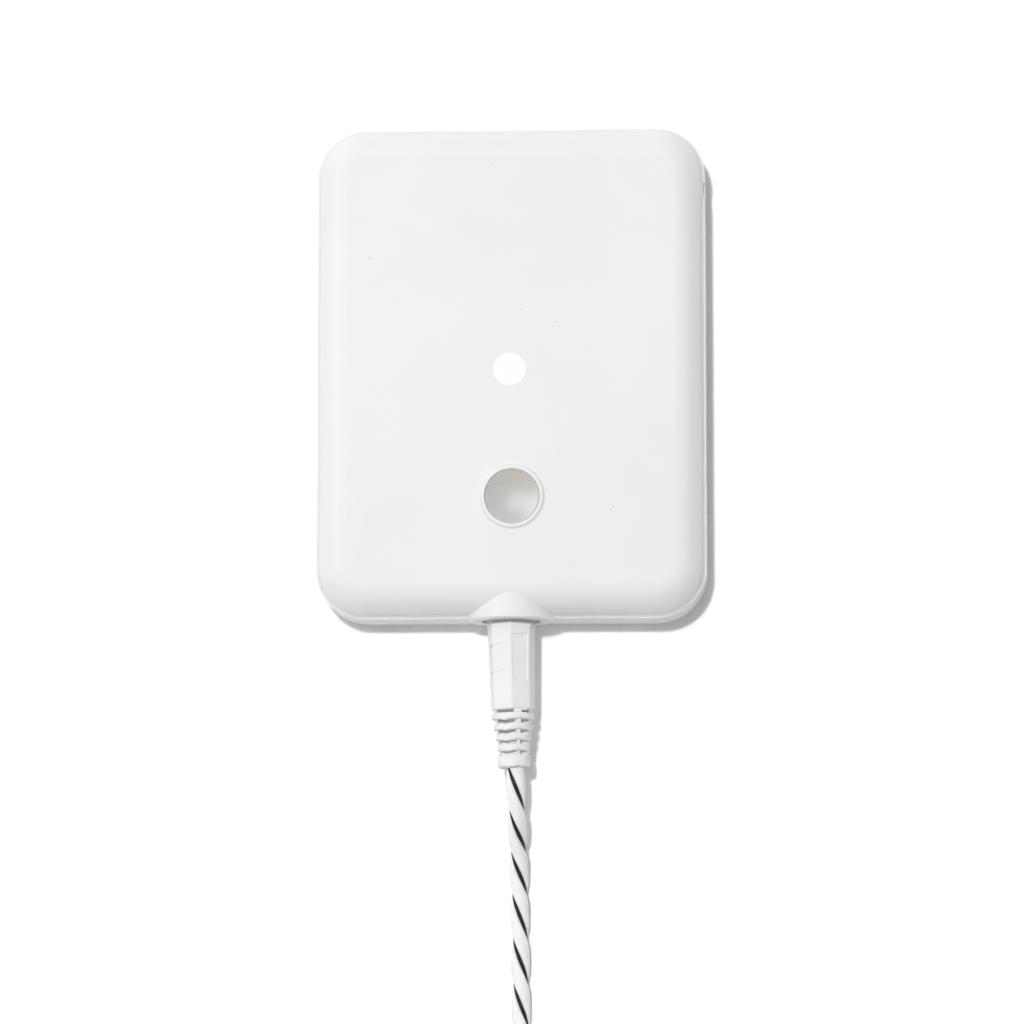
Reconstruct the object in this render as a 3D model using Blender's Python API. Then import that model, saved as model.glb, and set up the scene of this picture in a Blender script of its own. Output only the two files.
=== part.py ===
"""Water leak sensor: a moulded white box with a press button and a plug-in sensing rope.

The box lies on its back with its front face up. The origin is on the surface that it rests on, in the
middle of the box. +X is to the right seen from the front, +Y points to the battery end, and the rope leaves
along -Y. Every size is in metres.
"""
import math

import bmesh
import bpy
from mathutils import Matrix, Vector

# Clearances
FIT_GAP = 0.0003
RUNNING_GAP = 0.0003
CUT_OVER = 0.0010
SAME_POINT = 0.000001

# Fineness of round shapes
LARGE_STEPS = 40
BUTTON_STEPS = 30
MEDIUM_STEPS = 24
SMALL_STEPS = 12
CORNER_STEPS = 6
ROLL_STEPS = 9
INNER_ROLL_STEPS = 4
EDGE_STEPS = 3
SMALL_BEVEL = 0.0003

# Box: the front cover's edges, and the rear cover that stands proud of it by a narrow ledge
CORNER_RADIUS = 0.0087
ROLL_RADIUS = 0.0054
WALL = 0.0020
FRONT_RIM = 0.0008
LEDGE = 0.00045
BACK_ROUND = 0.0010
TONGUE_WIDTH = 0.0008
TONGUE_DEPTH = 0.0011
PRY_SLOT_LENGTH = 0.0024
PRY_SLOT_HEIGHT = 0.0012
PRY_SLOT_DEPTH = 0.0007
PRY_SLOT_FROM_END = 0.0110

# Socket boss at the lower end, shared by both covers
BOSS_MARGIN = 0.0001
BOSS_PROUD = 0.00035
BOSS_ROUND = 0.00045
BOSS_REACH = 0.0041
RECESS_RADIUS = 0.00535

# Screws that hold the covers together, driven from the back
PILLAR_RADIUS = 0.0030
PILLAR_WALL_GAP = 0.00045
POST_HEIGHT = 0.0060
COVER_SCREW_RADIUS = 0.0010
COVER_SCREW_HEAD_RADIUS = 0.0020
COVER_SCREW_HEAD_HEIGHT = 0.0012
COVER_SCREW_LENGTH = 0.0073
PILOT_SPARE = 0.0030
SCREW_SEAT_HEIGHT = 0.0030
SCREW_RECESS_WIDTH = 0.0005
SCREW_RECESS_DEPTH = 0.0006
SCREW_RECESS_REACH = 1.3
SCREW_CROWN_SHARE = 0.33
SCREW_POINT_SHARE = 0.33

# Button
BUTTON_RADIUS = 0.00475
BUTTON_X = 0.00055
BUTTON_PROUD = 0.00015
BUTTON_TRAVEL = 0.0005
DISH_DEPTH = 0.0009
DISH_RIM = 0.00055
DISH_STEPS = 4
CAP_EDGE = 0.00033
LIP_WIDTH = 0.00050
LIP_HEIGHT = 0.00045
FLANGE_WIDTH = 0.0013
FLANGE_THICKNESS = 0.0009
CAP_WALL = 0.0011
CAP_CROWN = 0.0009
STEM_RADIUS = 0.0018

# Circuit board and what it carries
BOARD_LENGTH = 0.0374
BOARD_THICKNESS = 0.0016
BOARD_SIDE_GAP = 0.0011
BOARD_END_GAP = 0.0016
BOARD_CORNER = 0.0010
BOARD_POST_RADIUS = 0.0025
BOARD_SCREW_RADIUS = 0.0009
BOARD_SCREW_HEAD_RADIUS = 0.0018
BOARD_SCREW_HEAD_HEIGHT = 0.0012
BOARD_SCREW_EDGE = 0.0032
SWITCH_WIDTH = 0.0060
SWITCH_HEIGHT = 0.0035
PLUNGER_RADIUS = 0.00175
PLUNGER_REACH = 0.0038
PLUNGER_SEAT = 0.0009
PLUNGER_EDGE = 0.0003
JACK_BODY_WIDTH = 0.0080
JACK_BODY_HEIGHT = 0.0060
JACK_BODY_LENGTH = 0.0125
JACK_SWITCH_GAP = 0.00145
JACK_NOSE_RADIUS = 0.0039
JACK_NOSE_EDGE = 0.0004
JACK_NECK_RADIUS = 0.0027
RADIO_SIZE = (0.0130, 0.0110, 0.0022)
RADIO_BASE_THICKNESS = 0.0008
RADIO_BASE_MARGIN = 0.0010
BOARD_PART_GAP = 0.0009
BUZZER_RADIUS = 0.0060
BUZZER_HEIGHT = 0.0045
BUZZER_PORT_RADIUS = 0.0012
BUZZER_CROWN = 0.0006
BUZZER_FROM_EDGE = 0.0010
LED_SIZE = (0.0032, 0.0028, 0.0016)
CONNECTOR_SIZE = (0.0060, 0.0045, 0.0042)
CONNECTOR_INSET = 0.0045

# Batteries: three slim cells side by side across the box
CELL_COUNT = 3
CELL_RADIUS = 0.00525
CELL_LENGTH = 0.0445
CELL_NUB_RADIUS = 0.0019
CELL_NUB_LENGTH = 0.0009
CELL_CRIMP = 0.0004
CELL_SPACING = 0.0008
CELL_HEADROOM = 0.0009
HOLDER_FLOOR = 0.0008
HOLDER_WALL = 0.0011
HOLDER_HEIGHT = 0.0078
HOLDER_SIDE_ROOM = 0.00725
SPRING_ROOM = 0.0026
PLATE_THICKNESS = 0.0004
PLATE_WIDTH = 0.0062
PLATE_HEIGHT = 0.0058
PLATE_DROP = 0.0010
SPRING_WIRE = 0.0005
SPRING_TURNS = 2.6
SPRING_STEPS = 9
SPRING_BASE_RADIUS = 0.0032
SPRING_TIP_RADIUS = 0.0019
LEAD_RADIUS = 0.0006
LEAD_SPACING = 0.0026
LEAD_SPREAD = 0.0078
LEAD_STRAIGHT = 0.0012
LEAD_POINTS = 10

# Plug: an eight-sided moulding that tapers, then a ribbed strain relief
PLUG_INSERT = 0.0039
PLUG_MOUTH_RADIUS = 0.00437
PLUG_WAIST_RADIUS = 0.00390
PLUG_BODY_LENGTH = 0.0160
PLUG_EDGE = 0.0003
PLUG_LEAN = 0.0009
PLUG_SIDES = 8
PLUG_POINTS = 48
PLUG_SOFTNESS = 0.012
PLUG_POCKETS = (("pocket_right", 67.5, 0.15, 0.53), ("pocket_left", 112.5, 0.27, 0.31))
POCKET_DEPTH = 0.00022
POCKET_WIDTH = 0.0030
POCKET_CORNER = 0.0006
PIN_RADIUS = 0.00175
PIN_LENGTH = 0.0140
PIN_ROOT = 0.0040
PIN_SHARES = ((1.00, 0.68), (1.00, 0.74), (0.78, 0.80), (0.94, 0.87), (0.62, 0.97), (0.25, 1.00))
RELIEF_RINGS = 4
RELIEF_RING_WIDTH = 0.00128
RELIEF_GAP = 0.00070
RELIEF_START_RADIUS = 0.00376
RELIEF_END_RADIUS = 0.00308
RELIEF_STEP = 0.00006
RING_SOFTNESS = 0.03
RING_EDGE = 0.00028
RING_EDGE_SHARE = 0.97
NECK_WINDOWS = ((33.75, 67.5, 0.60), (86.0, 146.0, 0.84))
NECK_WEB_SHARE = 0.955
COLLAR_LENGTH = 0.0024

# Sensing rope
ROPE_DIAMETER = 0.0034
COIL_MEAN_RADIUS = 0.0192
COIL_COLUMNS = 3
COIL_LAYERS = 3
COIL_CENTRE = (0.0242, -0.1470)
TIE_WIDTH = 0.0050
TIE_THICKNESS = 0.0006
TIE_LIFT = 0.00005
END_CAP_RADIUS = 0.0022
END_CAP_LENGTH = 0.0120
END_CAP_EDGE = 0.00055
ROPE_ROUTE = (
    (0.00092, -0.07245, 0.00840),
    (0.00097, -0.07600, 0.00830),
    (0.00103, -0.08050, 0.00700),
    (0.00109, -0.08600, 0.00410),
    (0.00116, -0.09200, 0.00215),
    (0.00124, -0.09850, 0.00178),
    (0.00136, -0.10800, 0.00176),
    (0.00150, -0.11800, 0.00185),
    (0.00160, -0.12700, 0.00225),
    (0.00160, -0.13430, 0.00265),
)
ROPE_POINTS = 12

# The box is sized from the inside out: across and up by its cells, lengthwise by its board and its cells
CELL_PITCH = 2 * CELL_RADIUS + CELL_SPACING
HOLDER_WIDTH = CELL_LENGTH + CELL_NUB_LENGTH + SPRING_ROOM + PLATE_THICKNESS + 2 * HOLDER_WALL + 3 * FIT_GAP
HOLDER_LENGTH = (CELL_COUNT - 1) * CELL_PITCH + 2 * (CELL_RADIUS + FIT_GAP + HOLDER_WALL)
PILLAR_OFFSET = (CORNER_RADIUS - WALL - PILLAR_RADIUS - PILLAR_WALL_GAP) / math.sqrt(2)
PILLAR_FROM_END = CORNER_RADIUS - PILLAR_OFFSET
BODY_WIDTH = HOLDER_WIDTH + 2 * (HOLDER_SIDE_ROOM + WALL)
BODY_HEIGHT = 2 * (WALL + FIT_GAP + CELL_RADIUS) + HOLDER_FLOOR + CELL_HEADROOM
BODY_LENGTH = (BOSS_REACH + FIT_GAP + BOARD_LENGTH + BOARD_END_GAP + HOLDER_LENGTH + FIT_GAP
               + PILLAR_RADIUS + PILLAR_FROM_END)

# Places worked out from the sizes above
HOUSING_Y = BOSS_PROUD / 2
HALF_WIDTH = BODY_WIDTH / 2
HALF_LENGTH = BODY_LENGTH / 2
CEILING = BODY_HEIGHT - WALL
FLOOR = WALL
PARTING_HEIGHT = BODY_HEIGHT - ROLL_RADIUS - FRONT_RIM
RIM_HEIGHT = PARTING_HEIGHT + FIT_GAP
JACK_HEIGHT = BODY_HEIGHT / 2
BOSS_RADIUS = JACK_HEIGHT - BOSS_MARGIN
BOSS_END_Y = HOUSING_Y - HALF_LENGTH - LEDGE - BOSS_PROUD
BOSS_INNER_Y = HOUSING_Y - HALF_LENGTH + BOSS_REACH
SCREW_X = HALF_WIDTH - PILLAR_FROM_END
SCREW_Y = HALF_LENGTH - PILLAR_FROM_END
SCREW_PLACES = tuple((x, HOUSING_Y + y) for x in (-SCREW_X, SCREW_X) for y in (-SCREW_Y, SCREW_Y))
PILLAR_END = POST_HEIGHT + FIT_GAP
BUTTON_Y = BOSS_INNER_Y + JACK_BODY_LENGTH + JACK_SWITCH_GAP + SWITCH_WIDTH / 2
BUTTON_HOLE_RADIUS = BUTTON_RADIUS + RUNNING_GAP
BOARD_TOP = JACK_HEIGHT - JACK_BODY_HEIGHT / 2 - FIT_GAP
BOARD_BOTTOM = BOARD_TOP - BOARD_THICKNESS
PARTS_BASE = BOARD_TOP + FIT_GAP
PLUG_FACE_Y = BOSS_END_Y + PLUG_INSERT
HOLDER_TOP_Y = HOUSING_Y + SCREW_Y - PILLAR_RADIUS - FIT_GAP
HOLDER_Y = HOLDER_TOP_Y - HOLDER_LENGTH / 2
HOLDER_BASE = FLOOR + FIT_GAP
CELL_AXIS_Z = HOLDER_BASE + HOLDER_FLOOR + FIT_GAP + CELL_RADIUS
BOARD_LOW_Y = BOSS_INNER_Y + FIT_GAP
BOARD_HIGH_Y = HOLDER_Y - HOLDER_LENGTH / 2 - BOARD_END_GAP
BOARD_WIDTH = 2 * (SCREW_X - PILLAR_RADIUS - BOARD_SIDE_GAP)
BOARD_Y = (BOARD_HIGH_Y + BOARD_LOW_Y) / 2
BOARD_SCREW_PLACES = tuple(
    (x * (BOARD_WIDTH / 2 - BOARD_SCREW_EDGE), BOARD_Y + y * (BOARD_LENGTH / 2 - BOARD_SCREW_EDGE))
    for x in (-1, 1) for y in (-1, 1))
PLUG_WAIST_Y = PLUG_FACE_Y - PLUG_INSERT - PLUG_BODY_LENGTH
RELIEF_LENGTH = (RELIEF_RINGS + 1) * RELIEF_GAP + RELIEF_RINGS * RELIEF_RING_WIDTH + COLLAR_LENGTH
PLUG_END_Y = PLUG_WAIST_Y - RELIEF_LENGTH
COIL_BASE = TIE_LIFT + TIE_THICKNESS + FIT_GAP
COIL_HALF_WIDTH = COIL_COLUMNS * ROPE_DIAMETER / 2
COIL_TOP = COIL_BASE + COIL_LAYERS * ROPE_DIAMETER


def clear_scene():
    """Removes the objects that a new file starts with."""
    for thing in list(bpy.data.objects):
        bpy.data.objects.remove(thing, do_unlink=True)


def finish_material(name, colour, roughness, metallic=0.0):
    """Returns a material of one Principled shader."""
    surface = bpy.data.materials.new(name)
    surface.use_nodes = True
    shader = surface.node_tree.nodes["Principled BSDF"]
    shader.inputs["Base Color"].default_value = (*colour, 1.0)
    shader.inputs["Roughness"].default_value = roughness
    shader.inputs["Metallic"].default_value = metallic
    return surface


def add_object(name, mesh_data, surface):
    """Links a mesh as an object with its own material, round parts shaded smooth."""
    thing = bpy.data.objects.new(name, mesh_data)
    bpy.context.scene.collection.objects.link(thing)
    if surface is not None:
        mesh_data.materials.append(surface)
        mesh_data.shade_smooth()
        mesh_data.set_sharp_from_angle(angle=math.radians(35))
    return thing


def mesh_from(name, shape):
    """Writes a bmesh to a mesh with its faces pointing out."""
    bmesh.ops.recalc_face_normals(shape, faces=shape.faces[:])
    mesh_data = bpy.data.meshes.new(name)
    shape.to_mesh(mesh_data)
    shape.free()
    return mesh_data


def rounded_outline(width, length, corner, centre=(0.0, 0.0), corner_steps=CORNER_STEPS):
    """Returns the points of a rectangle with round corners, counter-clockwise."""
    points = []
    for quarter, (side_x, side_y) in enumerate(((1, 1), (-1, 1), (-1, -1), (1, -1))):
        middle_x = centre[0] + side_x * (width / 2 - corner)
        middle_y = centre[1] + side_y * (length / 2 - corner)
        for step in range(corner_steps + 1):
            angle = math.pi / 2 * (quarter + step / corner_steps)
            points.append((middle_x + corner * math.cos(angle), middle_y + corner * math.sin(angle)))
    return points


def loft(name, rings, surface, closed=False):
    """Skins a row of point rings into one solid, with flat ends unless the row closes on itself."""
    shape = bmesh.new()
    rows = [[shape.verts.new(point) for point in ring] for ring in rings]
    pairs = list(zip(rows, rows[1:]))
    if closed:
        pairs.append((rows[-1], rows[0]))
    else:
        shape.faces.new(rows[0])
        shape.faces.new(rows[-1])
    for lower, upper in pairs:
        for index in range(len(lower)):
            after = (index + 1) % len(lower)
            shape.faces.new((lower[index], lower[after], upper[after], upper[index]))
    return add_object(name, mesh_from(name, shape), surface)


def turned(name, profile, surface, centre=(0.0, 0.0, 0.0), along="Z", steps=MEDIUM_STEPS, closed=False):
    """Spins a profile of (radius, distance) points about an axis through the centre.

    A flat end becomes one face, with no point in its middle.
    """
    shape = bmesh.new()
    row = [shape.verts.new((radius, 0.0, distance)) for radius, distance in profile]
    edges = [shape.edges.new(pair) for pair in zip(row, row[1:])]
    if closed:
        edges.append(shape.edges.new((row[-1], row[0])))
    bmesh.ops.spin(shape, geom=row + edges, cent=(0, 0, 0), axis=(0, 0, 1), angle=math.tau,
                   steps=steps, use_merge=True)
    bmesh.ops.remove_doubles(shape, verts=shape.verts[:], dist=SAME_POINT)
    poles = [vert for vert in shape.verts if math.hypot(vert.co.x, vert.co.y) < SAME_POINT]
    flat_poles = []
    for pole in poles:
        rises = [abs(edge.other_vert(pole).co.z - pole.co.z) for edge in pole.link_edges]
        if max(rises) < SAME_POINT:
            flat_poles.append(pole)
    bmesh.ops.dissolve_verts(shape, verts=flat_poles)
    turn = {"Z": Matrix.Identity(4), "Y": Matrix.Rotation(math.radians(-90), 4, "X"),
            "X": Matrix.Rotation(math.radians(90), 4, "Y")}[along]
    bmesh.ops.transform(shape, matrix=Matrix.Translation(centre) @ turn, verts=shape.verts[:])
    return add_object(name, mesh_from(name, shape), surface)


def block(name, size, centre, surface, bevel=0.0, turn=None):
    """Adds a box of the given size, with its edges bevelled where a width is given."""
    shape = bmesh.new()
    bmesh.ops.create_cube(shape, size=1.0, matrix=Matrix.Diagonal((*size, 1.0)))
    if bevel:
        bmesh.ops.bevel(shape, geom=shape.edges[:], offset=bevel, segments=2, profile=0.5, affect="EDGES")
    place = Matrix.Translation(centre) @ (turn or Matrix.Identity(4))
    bmesh.ops.transform(shape, matrix=place, verts=shape.verts[:])
    return add_object(name, mesh_from(name, shape), surface)


def combine(target, other, operation):
    """Joins or cuts the target with a guide object that isn't part of the model."""
    other.hide_render = True
    other.display_type = "WIRE"
    step = target.modifiers.new(other.name, "BOOLEAN")
    step.operation = operation
    step.object = other


def cut(target, cutter):
    """Takes the cutter's shape out of the target."""
    combine(target, cutter, "DIFFERENCE")


def join(target, addition):
    """Adds another shape to the target as one body."""
    combine(target, addition, "UNION")


def cylinder(name, radius, low, high, centre, along="Z", steps=MEDIUM_STEPS):
    """Adds a plain round guide between two distances along its axis."""
    profile = ((0.0, low), (radius, low), (radius, high), (0.0, high))
    return turned(name, profile, None, centre, along, steps)


def quarter_arc(radius, steps, start_degrees=0.0):
    """Yields (cosine, sine) times the radius over a quarter turn."""
    for step in range(steps + 1):
        angle = math.radians(start_degrees) + math.pi / 2 * step / steps
        yield radius * math.cos(angle), radius * math.sin(angle)


def cover_ring(inset, height):
    """Returns the covers' outline, moved in by an inset, at a height."""
    outline = rounded_outline(BODY_WIDTH - 2 * inset, BODY_LENGTH - 2 * inset, CORNER_RADIUS - inset,
                              (0.0, HOUSING_Y))
    return [(x, y, height) for x, y in outline]


def boss_guide(name):
    """Adds the socket boss as a full round bar with its outer edge rounded."""
    outer = BOSS_END_Y + BOSS_ROUND
    rounding = [(BOSS_RADIUS - BOSS_ROUND + reach, outer - rise)
                for reach, rise in quarter_arc(BOSS_ROUND, EDGE_STEPS)]
    profile = [(0.0, BOSS_INNER_Y), (BOSS_RADIUS, BOSS_INNER_Y), *rounding, (0.0, BOSS_END_Y)]
    return turned(name, profile, None, (0.0, 0.0, JACK_HEIGHT), "Y", LARGE_STEPS)


def boss_clearing(name, low, high):
    """Adds the box that cuts one half of the boss away, from one height to another."""
    width = 2 * (BOSS_RADIUS + CUT_OVER)
    length = BOSS_INNER_Y - BOSS_END_Y + 2 * CUT_OVER
    centre = (0.0, (BOSS_INNER_Y + BOSS_END_Y) / 2, (low + high) / 2)
    return block(name, (width, length, high - low), centre, None)


def socket_recess(name):
    """Adds the round recess that the plug goes into."""
    return cylinder(name, RECESS_RADIUS, BOSS_END_Y - CUT_OVER, BOSS_INNER_Y + CUT_OVER,
                    (0.0, 0.0, JACK_HEIGHT), "Y", LARGE_STEPS)


def build_front_cover(surface):
    """Models the front shell: rolled edges, button lip, boss half, screw pillars and tongue."""
    inner_roll = ROLL_RADIUS - WALL
    roll_start = BODY_HEIGHT - ROLL_RADIUS
    rings = [cover_ring(WALL + inner_roll - out, roll_start + rise)
             for rise, out in quarter_arc(inner_roll, INNER_ROLL_STEPS)]
    rings.append(cover_ring(WALL, RIM_HEIGHT - TONGUE_DEPTH))
    rings.append(cover_ring(WALL - TONGUE_WIDTH, RIM_HEIGHT - TONGUE_DEPTH))
    rings.append(cover_ring(WALL - TONGUE_WIDTH, RIM_HEIGHT))
    rings.append(cover_ring(0.0, RIM_HEIGHT))
    rings.extend(cover_ring(ROLL_RADIUS - out, roll_start + rise)
                 for out, rise in quarter_arc(ROLL_RADIUS, ROLL_STEPS))
    cover = loft("front_cover", rings, surface)

    join(cover, boss_guide("front_boss"))
    cut(cover, boss_clearing("front_boss_clearing", -CUT_OVER, RIM_HEIGHT))
    lip_outer = BUTTON_HOLE_RADIUS + LIP_WIDTH
    lip_top = BODY_HEIGHT + LIP_HEIGHT
    lip_round = LIP_WIDTH / 2
    crown = [(BUTTON_HOLE_RADIUS + lip_round + out, lip_top - lip_round + rise)
             for out, rise in quarter_arc(lip_round, EDGE_STEPS)]
    lip_profile = [(0.0, CEILING + CUT_OVER), (lip_outer, CEILING + CUT_OVER), *crown, (0.0, lip_top)]
    join(cover, turned("button_lip", lip_profile, None, (BUTTON_X, BUTTON_Y, 0.0), "Z", LARGE_STEPS))
    for number, (x, y) in enumerate(SCREW_PLACES, 1):
        join(cover, cylinder(f"pillar_{number}", PILLAR_RADIUS, PILLAR_END, CEILING + CUT_OVER, (x, y, 0.0)))
    cut(cover, cylinder("button_hole", BUTTON_HOLE_RADIUS, CEILING - CUT_OVER, lip_top + CUT_OVER,
                        (BUTTON_X, BUTTON_Y, 0.0), "Z", LARGE_STEPS))
    cut(cover, socket_recess("front_recess"))
    pilot_end = SCREW_SEAT_HEIGHT + COVER_SCREW_LENGTH + PILOT_SPARE
    for number, (x, y) in enumerate(SCREW_PLACES, 1):
        cut(cover, cylinder(f"pilot_{number}", COVER_SCREW_RADIUS + FIT_GAP, PILLAR_END - CUT_OVER, pilot_end,
                            (x, y, 0.0), "Z", SMALL_STEPS))
    return cover


def build_rear_cover(surface):
    """Models the tray: rebated rim, boss half, screw posts, board posts and the pry slot."""
    rebate_inset = WALL - TONGUE_WIDTH - FIT_GAP
    rebate_floor = PARTING_HEIGHT - TONGUE_DEPTH
    rings = [cover_ring(WALL, FLOOR), cover_ring(WALL, rebate_floor), cover_ring(rebate_inset, rebate_floor),
             cover_ring(rebate_inset, PARTING_HEIGHT), cover_ring(-LEDGE, PARTING_HEIGHT)]
    rings.extend(cover_ring(BACK_ROUND - LEDGE - out, BACK_ROUND - rise)
                 for out, rise in quarter_arc(BACK_ROUND, EDGE_STEPS))
    cover = loft("rear_cover", rings, surface)

    join(cover, boss_guide("rear_boss"))
    cut(cover, boss_clearing("rear_boss_clearing", PARTING_HEIGHT, BODY_HEIGHT + CUT_OVER))
    for number, (x, y) in enumerate(SCREW_PLACES, 1):
        join(cover, cylinder(f"post_{number}", PILLAR_RADIUS, FLOOR / 2, POST_HEIGHT, (x, y, 0.0)))
    for number, (x, y) in enumerate(BOARD_SCREW_PLACES, 1):
        join(cover, cylinder(f"board_post_{number}", BOARD_POST_RADIUS, FLOOR / 2, BOARD_BOTTOM - FIT_GAP,
                             (x, y, 0.0), "Z", SMALL_STEPS))
    cut(cover, socket_recess("rear_recess"))
    head_radius = COVER_SCREW_HEAD_RADIUS + FIT_GAP
    hole_radius = COVER_SCREW_RADIUS + FIT_GAP
    for number, (x, y) in enumerate(SCREW_PLACES, 1):
        profile = ((0.0, -CUT_OVER), (head_radius, -CUT_OVER), (head_radius, SCREW_SEAT_HEIGHT),
                   (hole_radius, SCREW_SEAT_HEIGHT), (hole_radius, POST_HEIGHT + CUT_OVER),
                   (0.0, POST_HEIGHT + CUT_OVER))
        cut(cover, turned(f"counterbore_{number}", profile, None, (x, y, 0.0), "Z", SMALL_STEPS))
    for number, (x, y) in enumerate(BOARD_SCREW_PLACES, 1):
        cut(cover, cylinder(f"board_pilot_{number}", BOARD_SCREW_RADIUS + FIT_GAP, FLOOR / 2,
                            BOARD_BOTTOM + CUT_OVER, (x, y, 0.0), "Z", SMALL_STEPS))
    slot_centre = (HALF_WIDTH + LEDGE, HOUSING_Y + HALF_LENGTH - PRY_SLOT_FROM_END, PARTING_HEIGHT)
    slot_size = (2 * PRY_SLOT_DEPTH, PRY_SLOT_LENGTH, 2 * PRY_SLOT_HEIGHT)
    cut(cover, block("pry_slot", slot_size, slot_centre, None))
    return cover


def build_screw(name, place, seat, head, shank, points_up, surface):
    """Models a pan-head screw with a cross recess. The seat is the height of its head's flat side."""
    head_radius, head_height = head
    shank_radius, shank_length = shank
    sign = 1 if points_up else -1
    crown = SCREW_CROWN_SHARE * head_height
    profile = ((0.0, -head_height), (head_radius - crown, -head_height), (head_radius, crown - head_height),
               (head_radius, 0.0), (shank_radius, 0.0), (shank_radius, shank_length - shank_radius),
               (SCREW_POINT_SHARE * shank_radius, shank_length), (0.0, shank_length))
    profile = [(radius, sign * distance) for radius, distance in profile]
    screw = turned(name, profile, surface, (*place, seat), "Z", SMALL_STEPS)
    reach = SCREW_RECESS_REACH * head_radius
    centre = (*place, seat - sign * head_height)
    for suffix, size in (("a", (reach, SCREW_RECESS_WIDTH)), ("b", (SCREW_RECESS_WIDTH, reach))):
        cut(screw, block(f"{name}_slot_{suffix}", (*size, 2 * SCREW_RECESS_DEPTH), centre, None))
    return screw


def build_screws(surface):
    """Models the four cover screws and the four board screws."""
    for number, place in enumerate(SCREW_PLACES, 1):
        build_screw(f"cover_screw_{number}", place, SCREW_SEAT_HEIGHT - FIT_GAP,
                    (COVER_SCREW_HEAD_RADIUS, COVER_SCREW_HEAD_HEIGHT),
                    (COVER_SCREW_RADIUS, COVER_SCREW_LENGTH), True, surface)
    for number, place in enumerate(BOARD_SCREW_PLACES, 1):
        build_screw(f"board_screw_{number}", place, BOARD_TOP + FIT_GAP,
                    (BOARD_SCREW_HEAD_RADIUS, BOARD_SCREW_HEAD_HEIGHT),
                    (BOARD_SCREW_RADIUS, BOARD_TOP - FLOOR / 2 - FIT_GAP), False, surface)


def build_button(cap_surface, plunger_surface, switch_surface):
    """Models the dished cap with its retaining flange, and the switch under it."""
    switch_top = PARTS_BASE + SWITCH_HEIGHT
    plunger_top = switch_top + PLUNGER_REACH
    cap_rim = BODY_HEIGHT + BUTTON_PROUD
    flange_top = CEILING - RUNNING_GAP
    flange_bottom = flange_top - FLANGE_THICKNESS
    pocket_top = cap_rim - DISH_DEPTH - CAP_CROWN
    dish_radius = BUTTON_RADIUS - DISH_RIM
    dish = []
    for step in range(DISH_STEPS + 1):
        share = 1 - step / DISH_STEPS
        dish.append((dish_radius * share, cap_rim - DISH_DEPTH * (1 - share ** 2)))
    profile = [(0.0, plunger_top + FIT_GAP), (STEM_RADIUS, plunger_top + FIT_GAP), (STEM_RADIUS, pocket_top),
               (BUTTON_RADIUS - CAP_WALL, pocket_top), (BUTTON_RADIUS - CAP_WALL, flange_bottom),
               (BUTTON_RADIUS + FLANGE_WIDTH, flange_bottom), (BUTTON_RADIUS + FLANGE_WIDTH, flange_top),
               (BUTTON_RADIUS, flange_top), (BUTTON_RADIUS, cap_rim - CAP_EDGE),
               (BUTTON_RADIUS - CAP_EDGE, cap_rim), *dish]
    profile = [(radius, height - cap_rim) for radius, height in profile]
    cap = turned("button_cap", profile, cap_surface, steps=BUTTON_STEPS)
    cap.location = (BUTTON_X, BUTTON_Y, cap_rim)

    bore_floor = PARTS_BASE + PLUNGER_SEAT
    switch = block("switch_body", (SWITCH_WIDTH, SWITCH_WIDTH, SWITCH_HEIGHT),
                   (BUTTON_X, BUTTON_Y, PARTS_BASE + SWITCH_HEIGHT / 2), switch_surface, SMALL_BEVEL)
    cut(switch, cylinder("plunger_bore", PLUNGER_RADIUS + RUNNING_GAP, bore_floor, switch_top + CUT_OVER,
                         (BUTTON_X, BUTTON_Y, 0.0)))
    plunger_bottom = bore_floor + BUTTON_TRAVEL + RUNNING_GAP
    depth = plunger_bottom - plunger_top
    plunger_profile = ((0.0, depth), (PLUNGER_RADIUS, depth), (PLUNGER_RADIUS, -PLUNGER_EDGE),
                       (PLUNGER_RADIUS - PLUNGER_EDGE, 0.0), (0.0, 0.0))
    plunger = turned("switch_plunger", plunger_profile, plunger_surface)
    plunger.location = (BUTTON_X, BUTTON_Y, plunger_top)


def build_board(surface):
    """Models the circuit board with its screw holes."""
    outline = rounded_outline(BOARD_WIDTH, BOARD_LENGTH, BOARD_CORNER, (0.0, BOARD_Y), EDGE_STEPS)
    rings = [[(x, y, height) for x, y in outline] for height in (BOARD_BOTTOM, BOARD_TOP)]
    board = loft("circuit_board", rings, surface)
    for number, (x, y) in enumerate(BOARD_SCREW_PLACES, 1):
        cut(board, cylinder(f"board_hole_{number}", BOARD_SCREW_RADIUS + FIT_GAP, BOARD_BOTTOM - CUT_OVER,
                            BOARD_TOP + CUT_OVER, (x, y, 0.0), "Z", SMALL_STEPS))


def build_jack(surface):
    """Models the socket: a block on the board with a round nose in the recess and a through bore."""
    nose_start = PLUG_FACE_Y + FIT_GAP
    block_start = BOSS_INNER_Y
    jack = block("jack_socket", (JACK_BODY_WIDTH, JACK_BODY_LENGTH, JACK_BODY_HEIGHT),
                 (0.0, block_start + JACK_BODY_LENGTH / 2, JACK_HEIGHT), surface, SMALL_BEVEL)
    profile = ((0.0, nose_start), (JACK_NOSE_RADIUS - JACK_NOSE_EDGE, nose_start),
               (JACK_NOSE_RADIUS, nose_start + JACK_NOSE_EDGE), (JACK_NOSE_RADIUS, block_start - FIT_GAP),
               (JACK_NECK_RADIUS, block_start + FIT_GAP), (0.0, block_start + FIT_GAP))
    axis = (0.0, 0.0, JACK_HEIGHT)
    join(jack, turned("jack_nose", profile, None, axis, "Y"))
    cut(jack, cylinder("jack_bore", PIN_RADIUS + FIT_GAP, nose_start - CUT_OVER,
                       block_start + JACK_BODY_LENGTH + CUT_OVER, axis, "Y"))


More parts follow.
